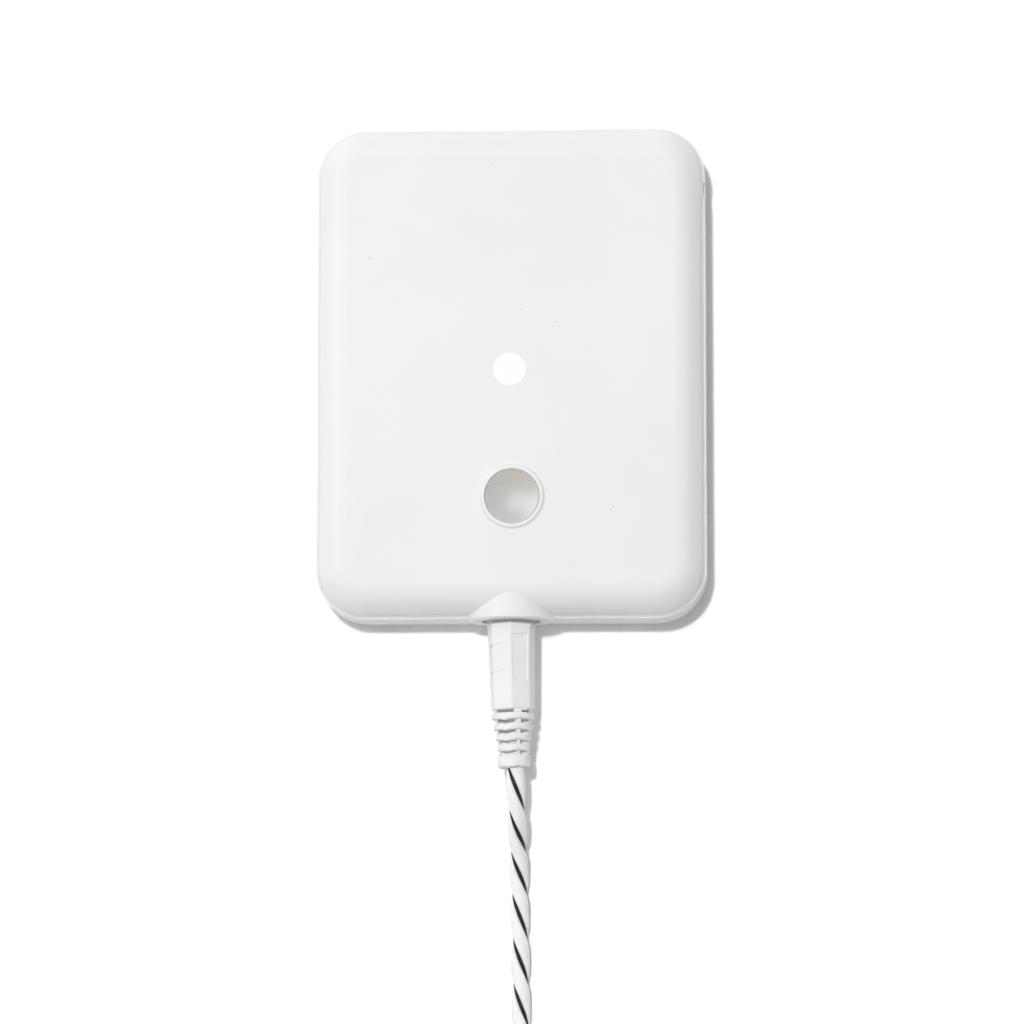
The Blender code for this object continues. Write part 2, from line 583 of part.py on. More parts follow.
def build_board_parts(metal, board_green, black, led_surface, ivory):
    """Models the radio module, the buzzer, the status light and the battery connector."""
    base_size = (RADIO_SIZE[0] + 2 * RADIO_BASE_MARGIN, RADIO_SIZE[1] + 2 * RADIO_BASE_MARGIN,
                 RADIO_BASE_THICKNESS)
    radio_x = BUTTON_X - (SWITCH_WIDTH / 2 + BOARD_PART_GAP + base_size[0] / 2)
    radio_y = BUTTON_Y + SWITCH_WIDTH
    base_z = PARTS_BASE + RADIO_BASE_THICKNESS / 2
    block("radio_module", base_size, (radio_x, radio_y, base_z), board_green)
    can_z = PARTS_BASE + RADIO_BASE_THICKNESS + FIT_GAP + RADIO_SIZE[2] / 2
    block("radio_shield", RADIO_SIZE, (radio_x, radio_y, can_z), metal, SMALL_BEVEL)

    led_x = BUTTON_X + SWITCH_WIDTH / 2 + BOARD_PART_GAP + LED_SIZE[0] / 2
    buzzer_x = BOARD_WIDTH / 2 - BUZZER_FROM_EDGE - BUZZER_RADIUS
    profile = ((0.0, 0.0), (BUZZER_RADIUS, 0.0), (BUZZER_RADIUS, BUZZER_HEIGHT - BUZZER_CROWN),
               (BUZZER_RADIUS - BUZZER_CROWN, BUZZER_HEIGHT), (BUZZER_PORT_RADIUS, BUZZER_HEIGHT),
               (BUZZER_PORT_RADIUS, BUZZER_HEIGHT / 2), (0.0, BUZZER_HEIGHT / 2))
    turned("buzzer", profile, black, (buzzer_x, BUTTON_Y, PARTS_BASE))

    led_z = PARTS_BASE + LED_SIZE[2] / 2
    block("indicator_led", LED_SIZE, (led_x, BUTTON_Y, led_z), led_surface, SMALL_BEVEL)

    connector_y = BOARD_HIGH_Y - CONNECTOR_INSET - CONNECTOR_SIZE[1] / 2
    connector_z = PARTS_BASE + CONNECTOR_SIZE[2] / 2
    block("battery_connector", CONNECTOR_SIZE, (0.0, connector_y, connector_z), ivory, SMALL_BEVEL)
    return connector_y


def cell_rows():
    """Yields each cell's number, its Y and the way its nub points, which alternates."""
    for index in range(CELL_COUNT):
        y = HOLDER_Y + (index - (CELL_COUNT - 1) / 2) * CELL_PITCH
        yield index + 1, y, 1 if index % 2 == 0 else -1


def build_holder(surface):
    """Models the battery holder: a tray with one round cradle for each cell."""
    holder = block("battery_holder", (HOLDER_WIDTH, HOLDER_LENGTH, HOLDER_HEIGHT),
                   (0.0, HOLDER_Y, HOLDER_BASE + HOLDER_HEIGHT / 2), surface)
    bay = HOLDER_WIDTH / 2 - HOLDER_WALL
    for number, y, _ in cell_rows():
        axis = (0.0, y, CELL_AXIS_Z)
        cut(holder, cylinder(f"cradle_{number}", CELL_RADIUS + FIT_GAP, -bay, bay, axis, "X"))


def build_cells(cell_surface, metal):
    """Models the cells with their contacts: a sprung one at the flat end and a plate at the nub."""
    bay = HOLDER_WIDTH / 2 - HOLDER_WALL
    for number, y, way in cell_rows():
        start = -way * (bay - FIT_GAP - SPRING_ROOM)
        profile = ((0.0, 0.0), (CELL_RADIUS - CELL_CRIMP, 0.0), (CELL_RADIUS, CELL_CRIMP),
                   (CELL_RADIUS, CELL_LENGTH - CELL_CRIMP), (CELL_RADIUS - CELL_CRIMP, CELL_LENGTH),
                   (CELL_NUB_RADIUS, CELL_LENGTH), (CELL_NUB_RADIUS, CELL_LENGTH + CELL_NUB_LENGTH),
                   (0.0, CELL_LENGTH + CELL_NUB_LENGTH))
        turned(f"battery_{number}", [(radius, way * distance) for radius, distance in profile], cell_surface,
               (start, y, CELL_AXIS_Z), "X")
        plate_x = way * (bay - FIT_GAP - PLATE_THICKNESS / 2)
        block(f"battery_plate_{number}", (PLATE_THICKNESS, PLATE_WIDTH, PLATE_HEIGHT),
              (plate_x, y, CELL_AXIS_Z - PLATE_DROP), metal)
        build_spring(f"battery_spring_{number}", -way * (bay - FIT_GAP), y, way, metal)


def build_spring(name, wall_x, y, way, surface):
    """Models a conical contact spring that runs from the bay's end wall to the cell."""
    span = SPRING_ROOM - SPRING_WIRE - FIT_GAP
    count = round(SPRING_TURNS * SPRING_STEPS)
    points = []
    for index in range(count + 1):
        share = index / count
        radius = SPRING_BASE_RADIUS + (SPRING_TIP_RADIUS - SPRING_BASE_RADIUS) * share
        angle = math.tau * SPRING_TURNS * share
        points.append((wall_x + way * (SPRING_WIRE / 2 + span * share), y + radius * math.cos(angle),
                       CELL_AXIS_Z + radius * math.sin(angle)))
    wire(name, points, SPRING_WIRE / 2, surface, 1)


def wire(name, points, radius, surface, sides_level=2):
    """Adds a round wire along points, as a curve with a bevel and filled ends."""
    path = bpy.data.curves.new(name, "CURVE")
    path.dimensions = "3D"
    path.bevel_depth = radius
    path.bevel_resolution = sides_level
    path.use_fill_caps = True
    line = path.splines.new("POLY")
    line.points.add(len(points) - 1)
    for slot, point in zip(line.points, points):
        slot.co = (*point, 1.0)
    thing = bpy.data.objects.new(name, path)
    bpy.context.scene.collection.objects.link(thing)
    path.materials.append(surface)
    return thing


def smooth_route(route, count):
    """Returns evenly shared points on a smooth curve through the route's own points."""
    places = [Vector(point) for point in route]
    before = 2 * places[0] - places[1]
    after = 2 * places[-1] - places[-2]
    places = [before, *places, after]
    pieces = len(places) - 3
    points = []
    for index in range(count):
        share = pieces * index / (count - 1)
        piece = min(int(share), pieces - 1)
        t = share - piece
        a, b, c, d = places[piece:piece + 4]
        points.append(0.5 * (2 * b + (c - a) * t + (2 * a - 5 * b + 4 * c - d) * t * t
                             + (3 * b - a - 3 * c + d) * t ** 3))
    return points


def build_leads(connector_y, red, black):
    """Models the two short leads from the battery holder to the board's connector."""
    start_y = HOLDER_Y - HOLDER_LENGTH / 2 - FIT_GAP
    end_y = connector_y + CONNECTOR_SIZE[1] / 2 + FIT_GAP
    start_z = HOLDER_BASE + HOLDER_HEIGHT - 2 * LEAD_RADIUS
    end_z = PARTS_BASE + CONNECTOR_SIZE[2] / 2
    for name, side, surface in (("battery_lead_red", 1, red), ("battery_lead_black", -1, black)):
        near_x = side * LEAD_SPACING / 2
        far_x = side * LEAD_SPREAD / 2
        route = ((far_x, start_y, start_z), (far_x, start_y - LEAD_STRAIGHT, start_z),
                 (near_x, end_y + LEAD_STRAIGHT, end_z), (near_x, end_y, end_z))
        wire(name, smooth_route(route, LEAD_POINTS), LEAD_RADIUS, surface)


def plug_radius_at(angle_degrees, circumradius, softness):
    """Returns an eight-sided section's radius at an angle, its corners softened. A corner faces up."""
    half_side = math.pi / PLUG_SIDES
    from_normal = abs(math.radians(angle_degrees) % (2 * half_side) - half_side)
    side = circumradius * math.cos(half_side) / math.cos(from_normal)
    return min(side, circumradius * (1 - softness))


def neck_share(angle_degrees):
    """Returns the strain relief's depth between rings, as a share of the ring, at an angle."""
    turn = angle_degrees % 180.0
    for start, end, share in NECK_WINDOWS:
        if start < turn < end:
            return share
    return NECK_WEB_SHARE


def plug_section(y, radius, is_neck=False, softness=PLUG_SOFTNESS):
    """Returns one section of the plug across Y, moved over by the plug's lean."""
    lean = PLUG_LEAN * max(0.0, BOSS_END_Y - y) / (BOSS_END_Y - PLUG_END_Y)
    points = []
    for index in range(PLUG_POINTS):
        degrees = 360.0 * index / PLUG_POINTS
        reach = plug_radius_at(degrees, radius, softness)
        if is_neck:
            reach *= neck_share(degrees)
        angle = math.radians(degrees)
        points.append((lean + reach * math.cos(angle), y, JACK_HEIGHT + reach * math.sin(angle)))
    return points


def relief_sections():
    """Yields the strain relief's sections: rings with windowed necks between them, then the collar."""
    place = PLUG_WAIST_Y
    spans = [RELIEF_RING_WIDTH] * RELIEF_RINGS + [COLLAR_LENGTH]
    for index, span in enumerate(spans):
        radius = RELIEF_START_RADIUS + (RELIEF_END_RADIUS - RELIEF_START_RADIUS) * index / RELIEF_RINGS
        yield plug_section(place - RELIEF_STEP, radius, True)
        place -= RELIEF_GAP
        yield plug_section(place + RELIEF_STEP, radius, True)
        yield plug_section(place, RING_EDGE_SHARE * radius, False, RING_SOFTNESS)
        yield plug_section(place - RING_EDGE, radius, False, RING_SOFTNESS)
        place -= span
        yield plug_section(place + RING_EDGE, radius, False, RING_SOFTNESS)
        yield plug_section(place, RING_EDGE_SHARE * radius, False, RING_SOFTNESS)


def build_plug(surface, metal):
    """Models the moulded plug with its strain relief and shallow grip pockets, and its contact pin."""
    mouth_y = BOSS_END_Y
    sections = [plug_section(PLUG_FACE_Y, PLUG_MOUTH_RADIUS - PLUG_EDGE),
                plug_section(PLUG_FACE_Y - PLUG_EDGE, PLUG_MOUTH_RADIUS),
                plug_section(mouth_y, PLUG_MOUTH_RADIUS),
                plug_section(PLUG_WAIST_Y + PLUG_EDGE, PLUG_WAIST_RADIUS),
                plug_section(PLUG_WAIST_Y, PLUG_WAIST_RADIUS - PLUG_EDGE), *relief_sections()]
    plug = loft("plug_moulding", sections, surface)
    axis = (0.0, 0.0, JACK_HEIGHT)
    cut(plug, cylinder("pin_hole", PIN_RADIUS + FIT_GAP, PLUG_FACE_Y - PIN_ROOT - FIT_GAP,
                       PLUG_FACE_Y + CUT_OVER, axis, "Y"))
    for name, face_degrees, start, length in PLUG_POCKETS:
        for half_turn in (0, 180):
            cut(plug, plug_pocket(f"{name}_{half_turn}", face_degrees + half_turn, start, length))

    tip = [(PIN_RADIUS * width, PIN_LENGTH * reach) for width, reach in PIN_SHARES]
    profile = [(0.0, -PIN_ROOT), (PIN_RADIUS, -PIN_ROOT), *tip, (0.0, PIN_LENGTH)]
    turned("plug_pin", profile, metal, (0.0, PLUG_FACE_Y, JACK_HEIGHT), "Y")


def plug_pocket(name, face_degrees, start_share, length_share):
    """Adds the cutter of one shallow pocket in a side of the plug, tilted with its taper."""
    length = length_share * PLUG_BODY_LENGTH
    middle_share = start_share + length_share / 2
    taper = (PLUG_MOUTH_RADIUS - PLUG_WAIST_RADIUS) / PLUG_BODY_LENGTH
    circumradius = PLUG_MOUTH_RADIUS - taper * middle_share * PLUG_BODY_LENGTH
    lift = circumradius * math.cos(math.pi / PLUG_SIDES) - POCKET_DEPTH + CUT_OVER / 2
    y = BOSS_END_Y - middle_share * PLUG_BODY_LENGTH
    lean = PLUG_LEAN * (BOSS_END_Y - y) / (BOSS_END_Y - PLUG_END_Y)
    face_turn = Matrix.Rotation(math.radians(90.0 - face_degrees), 4, "Y")
    tilt = Matrix.Rotation(math.atan(taper), 4, "X")
    lean_turn = Matrix.Rotation(math.atan(PLUG_LEAN / (BOSS_END_Y - PLUG_END_Y)), 4, "Z")
    outward = face_turn @ Vector((0.0, 0.0, lift))
    centre = Vector((lean, y, JACK_HEIGHT)) + outward
    outline = rounded_outline(POCKET_WIDTH, length, POCKET_CORNER, (0.0, 0.0), EDGE_STEPS)
    place = Matrix.Translation(centre) @ lean_turn @ face_turn @ tilt
    rings = [[place @ Vector((x, along, height)) for x, along in outline]
             for height in (-CUT_OVER / 2, CUT_OVER / 2)]
    return loft(name, rings, None)


def build_rope(rope_surface, tie_surface, cap_surface):
    """Models the rope's free stretch, its coil with a tie, and the moulded cap on its end."""
    wire("sensing_rope", smooth_route(ROPE_ROUTE, ROPE_POINTS), ROPE_DIAMETER / 2, rope_surface)

    middle_z = (COIL_BASE + COIL_TOP) / 2
    section = rounded_outline(2 * COIL_HALF_WIDTH, COIL_TOP - COIL_BASE, ROPE_DIAMETER / 2,
                              (COIL_MEAN_RADIUS, middle_z), 2)
    turned("rope_coil", section, rope_surface, (*COIL_CENTRE, 0.0), "Z", LARGE_STEPS, closed=True)

    outer_x = COIL_MEAN_RADIUS + COIL_HALF_WIDTH + FIT_GAP
    inner_x = math.sqrt((COIL_MEAN_RADIUS - COIL_HALF_WIDTH) ** 2 - (TIE_WIDTH / 2) ** 2) - FIT_GAP
    tie_x = COIL_CENTRE[0] + (outer_x + inner_x) / 2
    opening = (outer_x - inner_x, COIL_TOP - COIL_BASE + 2 * FIT_GAP)
    rings = []
    for thickness, side in ((0.0, -1), (TIE_THICKNESS, -1), (TIE_THICKNESS, 1), (0.0, 1)):
        outline = rounded_outline(opening[0] + 2 * thickness, opening[1] + 2 * thickness,
                                  ROPE_DIAMETER / 2 + thickness, (tie_x, middle_z), EDGE_STEPS)
        rings.append([(x, COIL_CENTRE[1] + side * TIE_WIDTH / 2, z) for x, z in outline])
    loft("coil_tie", rings, tie_surface, closed=True)

    cap_start = COIL_CENTRE[0] - END_CAP_LENGTH / 2
    profile = ((0.0, 0.0), (END_CAP_RADIUS - END_CAP_EDGE, 0.0), (END_CAP_RADIUS, END_CAP_EDGE),
               (END_CAP_RADIUS, END_CAP_LENGTH - 2 * END_CAP_EDGE), (END_CAP_RADIUS / 2, END_CAP_LENGTH),
               (0.0, END_CAP_LENGTH))
    turned("rope_end_cap", profile, cap_surface,
           (cap_start, COIL_CENTRE[1] - COIL_MEAN_RADIUS, COIL_TOP + FIT_GAP + END_CAP_RADIUS), "X")


def main():
    """Builds every piece of the sensor."""
    clear_scene()
    white = finish_material("housing_white", (0.84, 0.84, 0.83), 0.38)
    pearl = finish_material("button_pearl", (0.60, 0.60, 0.57), 0.30)
    steel = finish_material("screw_steel", (0.62, 0.62, 0.63), 0.30, 1.0)
    nickel = finish_material("nickel", (0.76, 0.74, 0.70), 0.20, 1.0)
    green = finish_material("board_green", (0.04, 0.20, 0.09), 0.45)
    black = finish_material("black_plastic", (0.03, 0.03, 0.03), 0.45)
    red = finish_material("lead_red", (0.60, 0.04, 0.03), 0.45)
    ivory = finish_material("connector_ivory", (0.80, 0.76, 0.66), 0.45)
    clear = finish_material("light_clear", (0.85, 0.85, 0.80), 0.20)
    grey = finish_material("holder_grey", (0.12, 0.12, 0.13), 0.50)
    cell = finish_material("cell_wrap", (0.10, 0.22, 0.40), 0.30)
    plug_white = finish_material("plug_white", (0.82, 0.82, 0.81), 0.45)
    rope_white = finish_material("rope_white", (0.80, 0.80, 0.79), 0.60)
    tie_black = finish_material("tie_black", (0.04, 0.04, 0.04), 0.60)

    build_front_cover(white)
    build_rear_cover(white)
    build_screws(steel)
    build_button(pearl, ivory, black)
    build_board(green)
    build_jack(black)
    connector_y = build_board_parts(nickel, green, black, clear, ivory)
    build_holder(grey)
    build_cells(cell, nickel)
    build_leads(connector_y, red, black)
    build_plug(plug_white, nickel)
    build_rope(rope_white, tie_black, plug_white)


main()
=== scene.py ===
"""Dresses the water leak sensor: two moulded covers, a dished press button, a jack plug and a sensing rope.

Pieces are modelled in millimetres and brought to metres when they are finished. +X is to the right seen
from the front, +Y points to the battery end and +Z out of the front face.
"""
import logging
import math
from dataclasses import dataclass, field
from enum import Enum
from typing import Callable, Optional, Sequence, Union

import bmesh
import bpy
from mathutils import Matrix, Vector

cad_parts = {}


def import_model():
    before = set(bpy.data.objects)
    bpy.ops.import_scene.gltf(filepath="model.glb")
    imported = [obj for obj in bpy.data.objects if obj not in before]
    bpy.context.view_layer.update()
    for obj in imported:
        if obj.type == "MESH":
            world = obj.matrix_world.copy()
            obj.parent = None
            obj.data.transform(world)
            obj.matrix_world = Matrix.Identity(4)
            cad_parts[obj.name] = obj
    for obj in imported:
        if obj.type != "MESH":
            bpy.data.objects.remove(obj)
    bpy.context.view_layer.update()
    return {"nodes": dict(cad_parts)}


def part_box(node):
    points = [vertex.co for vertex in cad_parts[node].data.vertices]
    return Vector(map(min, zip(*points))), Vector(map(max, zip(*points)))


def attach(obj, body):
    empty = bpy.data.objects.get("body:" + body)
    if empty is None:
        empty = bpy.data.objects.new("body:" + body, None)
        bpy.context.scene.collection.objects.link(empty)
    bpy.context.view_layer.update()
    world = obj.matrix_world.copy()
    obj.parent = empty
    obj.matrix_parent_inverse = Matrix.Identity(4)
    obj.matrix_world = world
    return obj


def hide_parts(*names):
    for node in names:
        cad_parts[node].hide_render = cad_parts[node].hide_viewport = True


LOG = logging.getLogger("leak_sensor")
MILLIMETRE = 0.001
TOUCH = 0.01  # Millimetres within which two places count as one.
LONG_EDGE = 1.0  # Millimetres past which an edge runs along a piece and not across its rounding.
Point = tuple[float, float, float]
Colour = tuple[float, float, float]
Piece = bpy.types.Object
Value = Union["Signal", float, Sequence[float]]


class Axis(Enum):
    """The direction that a round piece is turned about."""

    X = Vector((1.0, 0.0, 0.0))
    Y = Vector((0.0, 1.0, 0.0))
    Z = Vector((0.0, 0.0, 1.0))


class Fit(Enum):
    """How one piece is worked into another."""

    JOIN = "UNION"
    CUT = "DIFFERENCE"


def only(piece: Piece) -> None:
    """Leaves one piece selected and active.

    Args:
        piece: The piece to work on.
    """
    for other in bpy.context.selected_objects:
        other.select_set(False)
    piece.select_set(True)
    bpy.context.view_layer.objects.active = piece


def settle(piece: Piece, place: Matrix) -> None:
    """Moves, turns or stretches a piece and puts the change into its mesh.

    Args:
        piece: The piece.
        place: The change.
    """
    only(piece)
    piece.matrix_world = place
    bpy.ops.object.transform_apply(location=True, rotation=True, scale=True)


def turned_about(point: Vector, angle: float) -> Matrix:
    """Returns the matrix of a turn about the upright line through a point."""
    return Matrix.Translation(point) @ Matrix.Rotation(angle, 4, "Z") @ Matrix.Translation(-point)


def start_block(name: str, low: Point, high: Point) -> Piece:
    """Adds a block from its lowest to its highest corner.

    Args:
        name: The piece's name.
        low: The lowest corner, in millimetres.
        high: The highest corner, in millimetres.

    Returns:
        The block, with its place in its mesh.
    """
    middle = [(a + b) / 2 for a, b in zip(low, high)]
    bpy.ops.object.select_all(action="DESELECT")
    bpy.ops.mesh.primitive_cube_add(size=1.0, location=middle)
    block = bpy.context.object
    block.name = name
    block.scale = [b - a for a, b in zip(low, high)]
    bpy.ops.object.transform_apply(location=True, rotation=True, scale=True)
    return block


def start_round(name: str, radius: float, start: Point, reach: float, axis: Axis = Axis.Z,
                sides: int = 64) -> Piece:
    """Adds a round bar from the middle of one end.

    Args:
        name: The piece's name.
        radius: The bar's radius, in millimetres.
        start: The middle of its first end, in millimetres.
        reach: Its length along the axis.
        axis: The direction that it points in.
        sides: The number of its sides.

    Returns:
        The bar, with its place in its mesh.
    """
    bpy.ops.object.select_all(action="DESELECT")
    bpy.ops.mesh.primitive_cylinder_add(vertices=sides, radius=radius, depth=abs(reach))
    bar = bpy.context.object
    bar.name = name
    middle = Vector(start) + axis.value * (reach / 2)
    turned = Vector((0.0, 0.0, 1.0)).rotation_difference(axis.value).to_matrix().to_4x4()
    settle(bar, Matrix.Translation(middle) @ turned)
    return bar


class Shaping:
    """Edit mode on one piece, in which faces and edges are picked by their place."""

    def __init__(self, piece: Piece) -> None:
        """Takes the piece that is shaped."""
        self.piece = piece

    def __enter__(self) -> "Shaping":
        """Opens edit mode with nothing picked.

        Returns:
            Itself.
        """
        only(self.piece)
        bpy.ops.object.mode_set(mode="EDIT")
        bpy.ops.mesh.select_mode(type="FACE")
        bpy.ops.mesh.select_all(action="DESELECT")
        return self

    def __exit__(self, *_: object) -> None:
        """Closes edit mode."""
        bpy.ops.object.mode_set(mode="OBJECT")

    def faces(self, wanted: Callable[[Vector, Vector], bool]) -> None:
        """Picks faces.

        Args:
            wanted: Takes a face's centre and its normal, and says whether it is picked.
        """
        bpy.ops.mesh.select_mode(type="FACE")
        shape = bmesh.from_edit_mesh(self.piece.data)
        for edge in shape.edges:
            edge.select_set(False)
        for face in shape.faces:
            face.select_set(wanted(face.calc_center_median(), face.normal))
        bmesh.update_edit_mesh(self.piece.data)

    def edges(self, wanted: Callable[[Vector, Vector], bool]) -> None:
        """Picks edges.

        Args:
            wanted: Takes an edge's two ends, and says whether it is picked.
        """
        bpy.ops.mesh.select_mode(type="EDGE")
        shape = bmesh.from_edit_mesh(self.piece.data)
        for face in shape.faces:
            face.select_set(False)
        for edge in shape.edges:
            edge.select_set(wanted(edge.verts[0].co, edge.verts[1].co))
        bmesh.update_edit_mesh(self.piece.data)

    def edges_along(self, axis: Axis) -> None:
        """Picks the edges that run along an axis."""
        self.edges(lambda a, b: abs((a - b).dot(axis.value)) > LONG_EDGE)

    def bevel(self, width: float, steps: int) -> None:
        """Rounds the picked edges."""
        bpy.ops.mesh.bevel(offset=width, segments=steps, profile=0.5, affect="EDGES", clamp_overlap=True)

    def inset(self, width: float, rise: float = 0.0) -> None:
        """Draws the picked faces in by a width, and lifts them by a rise."""
        bpy.ops.mesh.inset(thickness=width, depth=rise, use_even_offset=True)

    def extrude(self, along: Point, scale: float = 1.0, about: Optional[Point] = None) -> None:
        """Pulls the picked faces out.

        Args:
            along: How far and in which direction they move.
            scale: How much the new end is drawn in or spread.
            about: The point that it is drawn in about.
        """
        bpy.ops.mesh.extrude_region_move(TRANSFORM_OT_translate={"value": along})
        if scale != 1.0:
            bpy.ops.transform.resize(value=(scale, scale, scale), center_override=about)


def work(piece: Piece, tool: Piece, fit: Fit) -> None:
    """Joins a tool to a piece or cuts the piece with it, and takes the tool away.

    Args:
        piece: The piece that stays.
        tool: The piece that is used up.
        fit: Whether it is joined or cut.
    """
    only(piece)
    bpy.ops.object.modifier_add(type="BOOLEAN")
    change = piece.modifiers[-1]
    change.operation = fit.value
    change.object = tool
    change.solver = "EXACT"
    bpy.ops.object.modifier_apply(modifier=change.name)
    bpy.data.objects.remove(tool, do_unlink=True)


def copied(piece: Piece, name: str, move: Point, size: Point = (1.0, 1.0, 1.0)) -> Piece:
    """Copies a piece with a mesh of its own.

    Args:
        piece: The piece to copy.
        name: The copy's name.
        move: How far the copy is moved.
        size: How much it is stretched, before it is moved.

    Returns:
        The copy.
    """
    only(piece)
    bpy.ops.object.duplicate(linked=False)
    copy = bpy.context.object
    copy.name = name
    settle(copy, Matrix.Translation(move) @ Matrix.Diagonal((*size, 1.0)))
    return copy


def finished(piece: Piece, material: bpy.types.Material, slot: str, body: str, *nodes: str,
             sharp: float = 32.0, weighted: bool = True) -> Piece:
    """Brings a piece to metres, smooths it, dresses it and puts it on its body.

    Args:
        piece: The piece, in millimetres.
        material: Its material.
        slot: The record's material slot that it belongs to; not used.
        body: The body that it rides on.
        nodes: The solids that it stands for.
        sharp: The angle in degrees above which an edge stays sharp.
        weighted: Whether large faces lead the shading of their edges.

    Returns:
        The finished piece.
    """
    only(piece)
    piece.scale = (MILLIMETRE, MILLIMETRE, MILLIMETRE)
    bpy.ops.object.transform_apply(location=True, rotation=True, scale=True)
    bpy.ops.object.shade_smooth_by_angle(angle=math.radians(sharp))
    if weighted:
        bpy.ops.object.modifier_add(type="WEIGHTED_NORMAL")
        piece.modifiers[-1].keep_sharp = True
        bpy.ops.object.modifier_apply(modifier=piece.modifiers[-1].name)
    piece.data.materials.clear()
    piece.data.materials.append(material)
    piece.data.name = piece.name
    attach(piece, body)
    if nodes:
        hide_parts(*nodes)
    LOG.info("%s: %d faces on %s", piece.name, len(piece.data.polygons), body)
    return piece


class Signal:
    """One output of a node. Arithmetic on it adds Math nodes."""

    def __init__(self, board: "NodeBoard", socket: bpy.types.NodeSocket) -> None:
        """Takes the board and the output that it stands for."""
        self.board = board
        self.socket = socket

    def _with(self, operation: str, *values: Value) -> "Signal":
        """Adds a Math node on some values."""
        return self.board.node("ShaderNodeMath", {"operation": operation}, dict(enumerate(values)))

    def __add__(self, other: Value) -> "Signal":
        """Returns the sum."""
        return self._with("ADD", self, other)

    __radd__ = __add__

    def __sub__(self, other: Value) -> "Signal":
        """Returns the difference."""
        return self._with("SUBTRACT", self, other)

    def __rsub__(self, other: Value) -> "Signal":
        """Returns the difference from a value."""
        return self._with("SUBTRACT", other, self)

    def __mul__(self, other: Value) -> "Signal":
        """Returns the product."""
        return self._with("MULTIPLY", self, other)

    __rmul__ = __mul__

    def __pow__(self, power: float) -> "Signal":
        """Returns the power."""
        return self._with("POWER", self, power)

    def wave(self) -> "Signal":
        """Returns the sine."""
        return self._with("SINE", self)

    def larger(self, other: Value) -> "Signal":
        """Returns the larger of two values."""
        return self._with("MAXIMUM", self, other)

    def between(self, low: float, high: float) -> "Signal":
        """Returns 0 below one value and 1 above the other, with a smooth rise."""
        return self.board.node("ShaderNodeMapRange", {"interpolation_type": "SMOOTHSTEP"},
                               {"Value": self, "From Min": low, "From Max": high})


class NodeBoard:
    """A node tree, with the one method that adds nodes to it."""

    def __init__(self, tree: bpy.types.NodeTree) -> None:
        """Takes the tree."""
        self.tree = tree

    def node(self, kind: str, settings: Optional[dict] = None, inputs: Optional[dict] = None,
             output: Union[int, str] = 0) -> Signal:
        """Adds a node.

        Args:
            kind: The node's type.
            settings: Its own settings, which are set first.
            inputs: The values or links of its sockets, by name or place.
            output: The output that is wanted.

        Returns:
            That output.
        """
        made = self.tree.nodes.new(kind)
        for key, value in (settings or {}).items():
            setattr(made, key, value)
        for key, value in (inputs or {}).items():
            self.feed(made, key, value)
        return Signal(self, made.outputs[output])

    def feed(self, made: bpy.types.Node, key: Union[int, str], value: Value) -> None:
        """Sets or links one socket of a node.

        Args:
            made: The node.
            key: The socket's name, identifier or place.
            value: A plain value, or a signal to link.
        """
        socket = made.inputs[key] if isinstance(key, int) else next(
            s for s in made.inputs if key in (s.identifier, s.name) and s.enabled)
        if isinstance(value, Signal):
            self.tree.links.new(value.socket, socket)
        elif socket.type == "RGBA" and len(value) == 3:
            socket.default_value = (*value, 1.0)
        else:
            socket.default_value = value

    def ray(self, kind: str) -> Signal:
        """Returns 1 for one kind of ray and 0 for the others."""
        return self.node("ShaderNodeLightPath", output=f"Is {kind} Ray")


class Recipe(NodeBoard):
    """The nodes of one material."""

    def __init__(self, name: str) -> None:
        """Starts a material with one Principled shader.

        Args:
            name: The material's name.
        """
        self.material = bpy.data.materials.new(name)
        self.material.use_nodes = True
        super().__init__(self.material.node_tree)
        self.shader = self.tree.nodes["Principled BSDF"]

    def dress(self, **inputs: Value) -> bpy.types.Material:
        """Feeds the shader and gives the material.

        Args:
            inputs: The values or signals of its sockets, whose spaces are written as underscores.

        Returns:
            The material.
        """
        for key, value in inputs.items():
            self.feed(self.shader, key.replace("_", " "), value)
        return self.material

    def place(self) -> Signal:
        """Returns the place on the piece, in metres."""
        return self.node("ShaderNodeTexCoord", output="Object")

    def stretched(self, place: Signal, size: Point) -> Signal:
        """Returns a place that is stretched."""
        return self.node("ShaderNodeMapping", {}, {"Vector": place, "Scale": size})

    def parts(self, place: Signal) -> tuple[Signal, Signal, Signal]:
        """Returns a place's three parts."""
        made = self.node("ShaderNodeSeparateXYZ", {}, {"Vector": place}).socket.node
        return tuple(Signal(self, output) for output in made.outputs)

    def noise(self, place: Signal, grain: float, detail: float = 3.0, rough: float = 0.55) -> Signal:
        """Returns noise whose grain is a size in millimetres."""
        return self.node("ShaderNodeTexNoise", {}, {"Vector": place, "Scale": 1.0 / (grain * MILLIMETRE),
                                                    "Detail": detail, "Roughness": rough})

    def blend(self, share: Value, first: Value, second: Value) -> Signal:
        """Returns a colour between two."""
        return self.node("ShaderNodeMix", {"data_type": "RGBA"},
                         {"Factor_Float": share, "A_Color": first, "B_Color": second}, "Result")

    def bump(self, height: Signal, depth: float, strength: float = 1.0,
             under: Optional[Signal] = None) -> Signal:
        """Bends the surface by a height.

        Args:
            height: The height.
            depth: How far a height of 1 stands out, in millimetres.
            strength: How much of it shows.
            under: The normal that it bends, where another bump lies under it.

        Returns:
            The normal.
        """
        inputs = {"Height": height, "Distance": depth * MILLIMETRE, "Strength": strength}
        if under is not None:
            inputs["Normal"] = under
        return self.node("ShaderNodeBump", {}, inputs)


